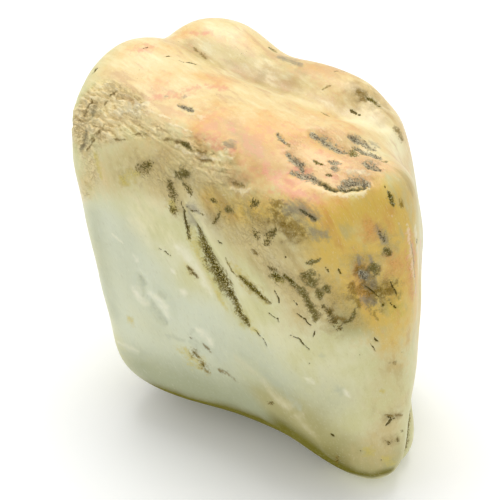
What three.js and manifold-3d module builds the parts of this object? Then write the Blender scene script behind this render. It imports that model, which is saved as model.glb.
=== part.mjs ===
// A river-worn nephrite pebble: one stone, standing on its worn foot.
// Millimetres and degrees, +Z up. The broad polished face looks along -Y, and the origin lies on
// the floor under the middle of the stone.
import * as THREE from "three";
import { mergeVertices } from "three/addons/utils/BufferGeometryUtils.js";
import Module from "manifold-3d";

const heartHeight = 26.8; // the point inside the stone that every reach is measured from
const edgeSharpness = 12; // how tightly the flats meet: higher gives a sharper edge
const meshDetail = 20; // how finely each face of the starting icosahedron is split
const meshLean = 0.22; // how far the triangles gather on the side with the most marks
const meshLeanToward = { azimuth: -50, elevation: 30 };

// The worn flats that bound the stone. Azimuth 0 looks to +X, 90 to +Y; reach is from the heart.
const flats = [
  { name: "broad face", azimuth: -92, elevation: 1, reach: 15 },
  { name: "lower bevel", azimuth: -92, elevation: -45, reach: 23.6 },
  { name: "brow bevel", azimuth: -92, elevation: 45, reach: 25.5 },
  { name: "right corner", azimuth: -42, elevation: 4, reach: 25.4 },
  { name: "right end", azimuth: 30, elevation: 0, reach: 24.8 },
  { name: "right shoulder", azimuth: 52, elevation: 38, reach: 30.4 },
  { name: "left end", azimuth: 188, elevation: -14, reach: 20.5 },
  { name: "left shoulder", azimuth: 150, elevation: 24, reach: 31 },
  { name: "back", azimuth: 84, elevation: 5, reach: 18.5 },
  { name: "back left bevel", azimuth: 138, elevation: -8, reach: 25.5 },
  { name: "back lower bevel", azimuth: 82, elevation: -42, reach: 28.5 },
  { name: "crown", azimuth: -40, elevation: 87, reach: 26.5 },
  { name: "foot", azimuth: 0, elevation: -90, reach: 27.3 },
];

// Swellings and hollows of the worn surface: rise in the middle, and width to where it has faded.
const swells = [
  { name: "back lobe", azimuth: 150, elevation: 53, rise: 1.6, width: 10 },
  { name: "second back hump", azimuth: 48, elevation: 53, rise: 1.6, width: 9 },
  { name: "saddle", azimuth: 108, elevation: 58, rise: -1.7, width: 8 },
  { name: "right brow", azimuth: 23, elevation: 31, rise: -1.3, width: 9 },
  { name: "front ridge, left", azimuth: 170, elevation: 54, rise: 1.2, width: 9 },
  { name: "left brow", azimuth: -158, elevation: 44, rise: -1.1, width: 11 },
  { name: "left foot", azimuth: -126, elevation: -45, rise: 0.8, width: 8 },
  { name: "foot hollow", azimuth: -48, elevation: -46, rise: -2.5, width: 16 },
  { name: "foot corner", azimuth: -15, elevation: -46, rise: 1.5, width: 8 },
  { name: "side notch", azimuth: 15, elevation: -33, rise: -1.8, width: 7 },
  { name: "side lobe", azimuth: 6, elevation: -41, rise: 0.8, width: 5 },
  { name: "brow dimple", azimuth: -61, elevation: 54, rise: -0.8, width: 3.4 },
  { name: "grey hollow", azimuth: -36, elevation: 43, rise: -0.7, width: 5 },
  { name: "corner hollow", azimuth: -17, elevation: 20, rise: -0.8, width: 7 },
  { name: "flake", azimuth: -116, elevation: -11, rise: 0.6, width: 5 },
  { name: "back hollow", azimuth: 96, elevation: -8, rise: -1.6, width: 16 },
  { name: "back swell", azimuth: 62, elevation: 16, rise: 1, width: 10 },
  { name: "left end hollow", azimuth: -172, elevation: 8, rise: -0.9, width: 10 },
];

// Grooves of the surface: depth along the middle line, and width to where the sides have faded.
// A line is a list of [azimuth, elevation], and a negative depth stands up as a ridge.
const grooves = [
  {
    name: "top valley", depth: 2.4, width: 5.5,
    line: [
      [162, 46], [160, 58], [146, 69], [118, 75], [85, 77], [58, 74], [38, 68], [28, 60], [20, 52], [16, 42],
    ],
  },
  {
    name: "brow pit", depth: 1.4, width: 3,
    line: [[-36, 56], [-31, 53], [-27, 48], [-23, 47], [-18, 47]],
  },
  { name: "upper pit", depth: 1, width: 2.6, line: [[-10, 62], [-10, 56], [-7, 54]] },
  { name: "green pit", depth: 1.2, width: 3.6, line: [[-2, 54], [6, 51], [4, 48]] },
  { name: "small pit", depth: 0.7, width: 2.4, line: [[-24, 56], [-19, 53]] },
  { name: "pink pit", depth: 0.8, width: 2.6, line: [[-31, 67], [-32, 61]] },
  { name: "back notch", depth: 1.3, width: 3, line: [[31, 62], [36, 59], [42, 53]] },
  { name: "brow crevice", depth: 0.8, width: 2.6, line: [[-106, 63], [-96, 62], [-84, 60]] },
  {
    name: "long vein", depth: 0.4, width: 2.4,
    line: [[-97, 51], [-95, 46], [-90, 39], [-78, 31], [-70, 24], [-64, 15], [-60, 4], [-49, -5]],
  },
  {
    name: "lower ridge", depth: -0.8, width: 4,
    line: [[-62, -20], [-47, -28], [-36, -30], [-28, -37]],
  },
  { name: "side crease", depth: 1.2, width: 2.6, line: [[2, -26], [-1, -31], [-3, -36], [-7, -42]] },
  {
    name: "outer rind ledge", depth: 0.6, width: 2.8,
    line: [[-150, 36], [-152, 46], [-162, 54], [-170, 60]],
  },
  {
    name: "middle rind ledge", depth: 0.6, width: 2.6,
    line: [[-138, 40], [-143, 50], [-150, 58], [-156, 66]],
  },
  {
    name: "inner rind ledge", depth: 0.6, width: 2.6,
    line: [[-128, 42], [-134, 54], [-132, 64], [-122, 70]],
  },
  { name: "back crack", depth: 0.7, width: 2.6, line: [[70, 30], [88, 22], [112, 20], [128, 10]] },
  { name: "back crease", depth: 0.9, width: 3.2, line: [[60, -30], [86, -34], [118, -26]] },
];

// Slow unevenness left by the river: waves that run through the stone, added up.
const waves = [
  { azimuth: 20, elevation: 15, length: 17, height: 0.12 },
  { azimuth: 95, elevation: -35, length: 13, height: 0.1 },
  { azimuth: 160, elevation: 50, length: 9, height: 0.07 },
  { azimuth: -60, elevation: 10, length: 7, height: 0.05 },
];

function toward(azimuth, elevation) {
  const a = THREE.MathUtils.degToRad(azimuth);
  const e = THREE.MathUtils.degToRad(elevation);
  return new THREE.Vector3(Math.cos(e) * Math.cos(a), Math.cos(e) * Math.sin(a), Math.sin(e));
}

const flatNormals = flats.map((flat) => toward(flat.azimuth, flat.elevation));

// Distance from the heart to the rounded block that the flats bound.
function blockReach(direction) {
  let sum = 0;
  flats.forEach((flat, i) => {
    const share = flatNormals[i].dot(direction) / flat.reach;
    if (share > 0) sum += share ** edgeSharpness;
  });
  return sum ** (-1 / edgeSharpness);
}

function blockPoint(azimuth, elevation) {
  const direction = toward(azimuth, elevation);
  return direction.multiplyScalar(blockReach(direction));
}

const swellMiddles = swells.map((swell) => blockPoint(swell.azimuth, swell.elevation));
const grooveLines = grooves.map((groove) => groove.line.map(([az, el]) => blockPoint(az, el)));
const waveDirections = waves.map((wave) => toward(wave.azimuth, wave.elevation));

function fade(distance, width) {
  return Math.exp(-2 * (distance / width) ** 2);
}

// Distance from a point to a line of several stretches.
const nearest = new THREE.Vector3();
const stretch = new THREE.Line3();
function distanceToLine(place, line) {
  let distance = Infinity;
  for (let k = 1; k < line.length; k += 1) {
    stretch.set(line[k - 1], line[k]).closestPointToPoint(place, true, nearest);
    distance = Math.min(distance, nearest.distanceTo(place));
  }
  return distance;
}

// How far the surface stands out from the block at a point on it.
function relief(place) {
  let height = 0;
  swells.forEach((swell, i) => {
    height += swell.rise * fade(place.distanceTo(swellMiddles[i]), swell.width);
  });
  grooves.forEach((groove, i) => {
    height -= groove.depth * fade(distanceToLine(place, grooveLines[i]), groove.width);
  });
  waves.forEach((wave, i) => {
    height += wave.height * Math.sin((2 * Math.PI * place.dot(waveDirections[i])) / wave.length);
  });
  return height;
}

// The stone before its foot is cut: a fine sphere whose every point moves out to the surface.
const sphere = new THREE.IcosahedronGeometry(1, meshDetail);
sphere.deleteAttribute("normal");
sphere.deleteAttribute("uv");
const roundStone = mergeVertices(sphere, 1e-5);
const lean = toward(meshLeanToward.azimuth, meshLeanToward.elevation).multiplyScalar(meshLean);
const positions = roundStone.attributes.position;
const point = new THREE.Vector3();
const direction = new THREE.Vector3();
for (let i = 0; i < positions.count; i += 1) {
  direction.fromBufferAttribute(positions, i).normalize().add(lean).normalize();
  point.copy(direction).multiplyScalar(blockReach(direction));
  point.addScaledVector(direction, relief(point));
  positions.setXYZ(i, point.x, point.y, point.z + heartHeight);
}

// The stone stands on its foot, worn flat: all that is below the floor is cut away.
const floorWidth = 120;
const floorDepth = 20;
const wasm = await Module();
wasm.setup();
function solidOf(shape) {
  return new wasm.Manifold(new wasm.Mesh({
    numProp: 3,
    vertProperties: new Float32Array(shape.attributes.position.array),
    triVerts: new Uint32Array(shape.index.array),
  }));
}
const floorBox = new THREE.BoxGeometry(floorWidth, floorWidth, floorDepth);
floorBox.translate(0, 0, -floorDepth / 2);
floorBox.deleteAttribute("normal");
floorBox.deleteAttribute("uv");
const cutMesh = solidOf(roundStone).subtract(solidOf(mergeVertices(floorBox))).getMesh();
const pebbleShape = new THREE.BufferGeometry();
pebbleShape.setAttribute("position", new THREE.BufferAttribute(cutMesh.vertProperties, 3));
pebbleShape.setIndex(new THREE.BufferAttribute(cutMesh.triVerts, 1));

// The origin goes under the middle of the stone.
pebbleShape.computeBoundingBox();
const middle = pebbleShape.boundingBox.getCenter(new THREE.Vector3());
pebbleShape.translate(-middle.x, -middle.y, 0);

const waxyStone = new THREE.MeshStandardMaterial({ color: 0xcfcba0, roughness: 0.4, metalness: 0 });
const pebble = new THREE.Mesh(pebbleShape, waxyStone);
pebble.name = "pebble";
const group = new THREE.Group();
group.add(pebble);
export default group;
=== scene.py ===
"""A river-worn nephrite pebble: one waxy, translucent stone in a plain studio."""

import math
from collections import namedtuple
from types import SimpleNamespace

import bmesh
import bpy
import numpy as np
from bpy.props import FloatProperty, FloatVectorProperty, IntProperty, PointerProperty
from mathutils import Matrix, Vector, noise
from mathutils.bvhtree import BVHTree


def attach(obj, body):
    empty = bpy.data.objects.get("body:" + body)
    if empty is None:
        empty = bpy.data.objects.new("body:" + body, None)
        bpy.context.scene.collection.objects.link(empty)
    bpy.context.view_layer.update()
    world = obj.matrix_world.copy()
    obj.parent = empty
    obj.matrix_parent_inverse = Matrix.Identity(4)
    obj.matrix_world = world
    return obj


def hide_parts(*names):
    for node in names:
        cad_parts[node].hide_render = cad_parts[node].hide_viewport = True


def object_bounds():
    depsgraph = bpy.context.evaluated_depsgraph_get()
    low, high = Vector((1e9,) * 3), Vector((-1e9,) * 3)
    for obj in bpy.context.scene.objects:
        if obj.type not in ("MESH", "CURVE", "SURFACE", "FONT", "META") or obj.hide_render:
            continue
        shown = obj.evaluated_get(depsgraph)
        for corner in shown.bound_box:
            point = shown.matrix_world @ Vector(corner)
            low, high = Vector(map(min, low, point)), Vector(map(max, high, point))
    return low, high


bl_info = {
    "name": "River-worn nephrite pebble",
    "version": (1, 0, 0),
    "blender": (4, 5, 0),
    "location": "3D View > Sidebar > Pebble",
    "description": "Makes a river-worn nephrite pebble and a plain studio for it",
    "category": "Add Mesh",
}

NODE = "pebble"
BODY = "root"
MM = 0.001

HEART_LEVEL = 0.49  # how high the heart of the stone lies, as a share of its height

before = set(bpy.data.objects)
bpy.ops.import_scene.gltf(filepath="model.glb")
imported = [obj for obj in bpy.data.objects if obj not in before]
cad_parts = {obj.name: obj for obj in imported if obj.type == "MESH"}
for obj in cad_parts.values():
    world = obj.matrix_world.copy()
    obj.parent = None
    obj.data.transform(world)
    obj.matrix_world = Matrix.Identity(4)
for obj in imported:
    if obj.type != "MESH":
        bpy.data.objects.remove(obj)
cad_low, cad_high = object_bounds()
middle = (cad_low + cad_high) / 2
heart = Vector((middle.x, middle.y, cad_low.z + (cad_high.z - cad_low.z) * HEART_LEVEL))

# Places on the stone are given in two ways: as the view places (x, y) where the studio camera
# sees them, on a square view this wide, or as directions (azimuth, elevation) from the heart of
# the stone for the sides that the camera doesn't see. Azimuth 0 looks to +X, 90 to +Y.
VIEW_SIDE = 500
VIEW_STEP = 5  # how far apart the places of a filled-in path are, in view places
TURN_STEP = 5  # the same for directions, in degrees

# ---------------------------------------------------------------------------------------------
# Tints: soft areas of colour, some of them painted shade and painted highlight. Each has a strength
# in the middle and a reach in millimetres.

SEEN_TINTS = [
    ("crown", "cream", 1.0, 9.0, [(140, 60), (190, 75), (250, 100), (330, 125), (380, 140)]),
    ("crown front", "cream", 0.9, 5.0, [(120, 80), (170, 105), (240, 130), (300, 160)]),
    ("back lobe", "cream", 1.0, 9.0, [(200, 25), (260, 45), (310, 75), (370, 100)]),
    ("brow", "straw", 1.0, 6.5, [(150, 168), (200, 190), (235, 225), (275, 262), (312, 296)]),
    ("brow, right", "straw", 0.9, 5.0, [(250, 205), (290, 232), (325, 262)]),
    ("brow, left", "straw", 0.7, 3.5, [(88, 180), (110, 170), (140, 160), (180, 160)]),
    ("lower right", "straw", 0.65, 5.0, [(395, 350), (394, 400), (388, 430), (380, 455)]),
    ("lower right, golden", "honey", 0.2, 3.0, [(398, 330), (398, 356)]),
    ("honey corner", "honey", 1.0, 5.0, [(325, 210), (350, 216), (372, 206), (396, 222)]),
    ("honey side", "honey", 1.0, 5.5, [(340, 246), (368, 250), (398, 240), (402, 282)]),
    ("honey side, low", "honey", 0.95, 5.0, [(345, 282), (372, 300), (400, 305)]),
    ("honey brow", "honey", 0.75, 3.0,
     [(215, 202), (250, 206), (276, 206), (300, 218), (312, 240)]),
    ("rind", "bark", 1.0, 3.5, [(80, 124), (92, 101), (106, 100), (127, 110), (102, 124)]),
    ("rind skirt", "bark", 0.5, 3.6, [(80, 130), (88, 155), (90, 190)]),
    ("rind brow", "bark", 0.6, 3.2, [(130, 124), (160, 135), (190, 146), (222, 162)]),
    ("rind brow, right", "bark", 0.3, 2.4, [(222, 162), (245, 178), (268, 196)]),
    # Painted shade on the rind's brow.
    ("rind brow, shade", "dusk", 0.3, 2.8, [(140, 147), (156, 154)]),
    ("rind brow, golden", "honey", 0.2, 3.0, [(142, 146), (160, 152)]),
    ("behind the crest", "straw", 1.0, 3.8, [(206, 46), (235, 60), (264, 70), (292, 78)]),
    ("second hump", "straw", 0.5, 4.0, [(300, 72), (330, 86), (362, 102)]),
    # Painted shade behind the crest, on the valley's wall and in the rind's fold and top.
    ("crest shade", "dusk", 0.55, 1.6, [(194, 46), (212, 57), (228, 66), (264, 80), (292, 86)]),
    ("valley wall", "dusk", 0.9, 2.2, [(262, 70), (276, 74), (290, 80)]),
    ("rind fold", "dusk", 0.2, 1.8, [(116, 124), (127, 128), (137, 126)]),
    ("rind top", "dusk", 0.3, 2.4, [(96, 82), (108, 74)]),
    ("valley mouth", "dusk", 0.8, 2.8, [(362, 94), (376, 104), (388, 114)]),
    ("crest shade, right", "dusk", 0.5, 1.5, [(292, 89), (326, 98), (355, 111), (382, 124)]),
    ("amber crown", "amber", 0.9, 4.0,
     [(214, 126), (240, 142), (264, 160), (286, 182), (308, 198)]),
    ("amber crown, right", "amber", 0.9, 4.0, [(266, 126), (294, 134), (322, 150), (346, 166)]),
    ("amber streak", "amber", 0.7, 2.2, [(160, 80), (178, 75), (200, 76), (220, 82)]),
    ("amber patch", "amber", 0.5, 3.0, [(214, 128), (234, 137), (258, 152)]),
    ("amber patch, left", "amber", 0.25, 3.0, [(184, 112), (200, 120)]),
    ("golden patch", "honey", 0.2, 3.0, [(205, 102), (225, 107), (245, 112)]),
    # Painted shade on the crown.
    ("crown shade", "dusk", 0.6, 3.2, [(230, 128), (250, 150), (276, 172)]),
    ("crown gold", "honey", 0.25, 2.6, [(236, 118), (262, 132), (284, 146)]),
    ("amber, far left", "amber", 0.6, 1.8, [(128, 52), (148, 48), (166, 46)]),
    ("amber, upper right", "amber", 0.5, 2.8, [(304, 108), (330, 117), (352, 127)]),
    ("back lobe blush", "amber", 0.5, 2.0, [(178, 33), (196, 33), (214, 32), (250, 38)]),
    ("second hump blush", "amber", 0.35, 3.0, [(300, 66), (325, 76), (350, 90)]),
    ("right stripes", "straw", 0.9, 1.6, [(409, 205), (414, 270), (415, 330)]),
    # Painted highlight on the right shoulder's bright rim.
    ("shoulder", "ivory", 1.0, 2.6, [(362, 118), (380, 124), (392, 136), (399, 150)]),
    ("shoulder, low", "straw", 1.0, 3.6, [(388, 166), (397, 174), (404, 186), (408, 200)]),
    ("pitted ground", "peach", 0.95, 4.0, [(300, 154), (322, 158), (346, 163), (374, 160)]),
    ("pitted ground, low", "peach", 0.8, 3.2, [(304, 188), (320, 189), (342, 176), (362, 172)]),
    # Pale patches of the stone, with painted highlight along the crest and the crown's rims.
    ("pale edge", "ivory", 0.4, 4.0, [(140, 214), (160, 228)]),
    ("crest", "ivory", 0.55, 2.0, [(230, 74), (258, 86), (286, 98), (312, 106)]),
    ("left crown rim", "ivory", 0.4, 2.4, [(118, 60), (140, 52), (165, 60), (190, 66)]),
    ("back lobe, pale", "ivory", 0.6, 3.0, [(216, 24), (240, 32)]),
    ("broad face", "mint", 1.0, 7.5, [(108, 230), (130, 262), (160, 305), (205, 338)]),
    ("broad face, low", "mint", 0.7, 5.5, [(215, 325), (250, 352), (280, 380)]),
    ("lower left", "mint", 0.9, 6.0, [(112, 296), (135, 338), (172, 366), (215, 384)]),
    ("left edge", "sage", 0.45, 3.0, [(94, 215), (98, 250), (112, 310)]),
    # Painted shade: the lower face darkens as it turns down towards the floor.
    ("lower face", "sage", 0.5, 5.5, [(125, 362), (152, 366), (185, 374), (225, 384), (262, 396)]),
    ("lower front", "sage", 0.4, 7.0, [(225, 350), (262, 372), (300, 392), (330, 405)]),
    ("ridge underside", "khaki", 0.5, 2.6,
     [(262, 396), (280, 408), (298, 424), (314, 440), (330, 452)]),
    ("face middle", "sage", 0.3, 4.0, [(128, 228), (126, 264), (134, 300), (156, 326)]),
    ("face by the vein", "khaki", 0.16, 3.0, [(170, 244), (184, 262)]),
    # Painted shade of the foot, darker towards the bottom edge.
    ("shaded foot", "sage", 1.0, 4.6, [(150, 377), (190, 390), (245, 404), (285, 419)]),
    ("foot shade", "leaf", 0.85, 4.4, [(285, 428), (305, 442), (325, 458)]),
    ("shaded foot, right", "khaki", 1.0, 5.0, [(276, 408), (300, 423), (322, 444), (345, 459)]),
    ("shaded foot, tip", "khaki", 0.85, 4.0, [(345, 463), (370, 467), (392, 459)]),
    ("olive corner", "khaki", 1.0, 3.6, [(332, 264), (341, 284), (350, 300), (352, 318)]),
    ("olive corner, low", "khaki", 0.6, 3.0, [(352, 304), (368, 318), (384, 330)]),
    # Painted shade: the dark olive band along the lower edge, where the foot turns down to the
    # shadowed floor.
    ("foot line", "leaf", 0.9, 2.5,
     [(158, 388), (175, 394), (190, 399), (205, 403), (220, 407), (235, 412)]),
    ("foot line, right", "leaf", 0.95, 2.7,
     [(235, 412), (265, 422), (295, 438), (325, 459), (340, 468)]),
    ("foot line, tip", "leaf", 0.85, 1.4, [(340, 467), (355, 473), (372, 476), (390, 471)]),
    ("vein ground", "tea", 0.6, 2.4, [(194, 203), (214, 234), (233, 262), (252, 294)]),
    ("ridge streak", "tea", 0.5, 1.4, [(238, 359), (254, 372), (270, 387), (287, 401)]),
    ("ridge streak, low", "tea", 0.55, 1.2, [(300, 415), (318, 436), (332, 456)]),
    ("pitted corner", "scar", 0.4, 4.4, [(290, 150), (312, 172), (340, 184), (364, 182)]),
    ("pitted corner, upper", "scar", 0.4, 4.0, [(318, 138), (346, 150), (374, 160)]),
    ("scaly brow", "scar", 0.8, 3.6, [(150, 165), (190, 172), (230, 190), (270, 215)]),
    ("scaly brow, low", "scar", 0.5, 3.4, [(228, 220), (262, 236), (300, 250)]),
    ("scaly ground", "scar", 0.5, 3.0, [(200, 206), (226, 232), (246, 256)]),
    ("rough middle", "scar", 0.45, 3.6, [(262, 262), (300, 282), (330, 305)]),
    ("rough corner", "scar", 0.5, 3.0, [(360, 262), (374, 284), (392, 296)]),
]

HIDDEN_TINTS = [
    ("crown, far side", "cream", 1.0, 10.0, [(60, 60), (100, 62), (140, 58), (175, 55)]),
    ("right shoulder", "cream", 0.8, 8.0, [(10, 45), (35, 45), (60, 45)]),
    ("right end", "honey", 0.7, 9.0, [(-8, 15), (5, -5), (10, -25)]),
    ("right back", "straw", 0.7, 9.0, [(35, 10), (50, -10)]),
    ("back stain", "honey", 0.7, 8.0, [(70, 30), (100, 25), (130, 20)]),
    ("back rind", "bark", 0.8, 7.0, [(105, -20), (125, -12), (140, -25)]),
    ("left end rind", "bark", 0.6, 7.0, [(-165, 24), (178, 22), (168, 18)]),
    ("left end rind, low", "bark", 0.45, 6.0, [(168, 14), (160, 4)]),
    ("upper back cream", "cream", 0.6, 5.0, [(128, 32), (112, 34), (96, 38)]),
    ("upper back honey", "honey", 0.5, 4.5, [(62, 36), (50, 28), (46, 18)]),
    ("middle back sage", "sage", 0.4, 7.0, [(110, 6), (124, 0), (140, 2)]),
    ("lower back cream", "cream", 0.4, 6.0, [(84, -24), (104, -28), (120, -34)]),
    ("back blush", "amber", 0.8, 5.0, [(84, 50), (104, 44), (122, 40)]),
    # Painted shade on the back foot, the lower bevels and the underside, which face the floor.
    ("back foot", "sage", 1.0, 8.0, [(60, -45), (95, -50), (130, -45), (170, -45)]),
    ("lower bevel", "leaf", 1.0, 6.5,
     [(-150, -54), (-120, -61), (-92, -65), (-70, -63), (-50, -60)]),
    ("lower bevel, right", "leaf", 1.0, 5.5, [(-50, -60), (-35, -57), (-15, -58), (10, -60)]),
    ("under foot", "leaf", 0.9, 10.0, [(-90, -82), (0, -80), (90, -80)]),
    ("back face", "mint", 0.8, 8.0, [(75, -5), (90, -15), (60, 0)]),
    ("left end", "mint", 0.6, 7.0, [(-170, -10), (175, -25), (-165, -30)]),
    ("back scar", "scar", 0.9, 5.0, [(118, -10), (130, -18), (138, -28)]),
]

# ---------------------------------------------------------------------------------------------
# Marks: veins, pits, stains and cracks, and painted glints, highlights and shadows. Each has a half
# width in millimetres where it is widest.

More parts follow.
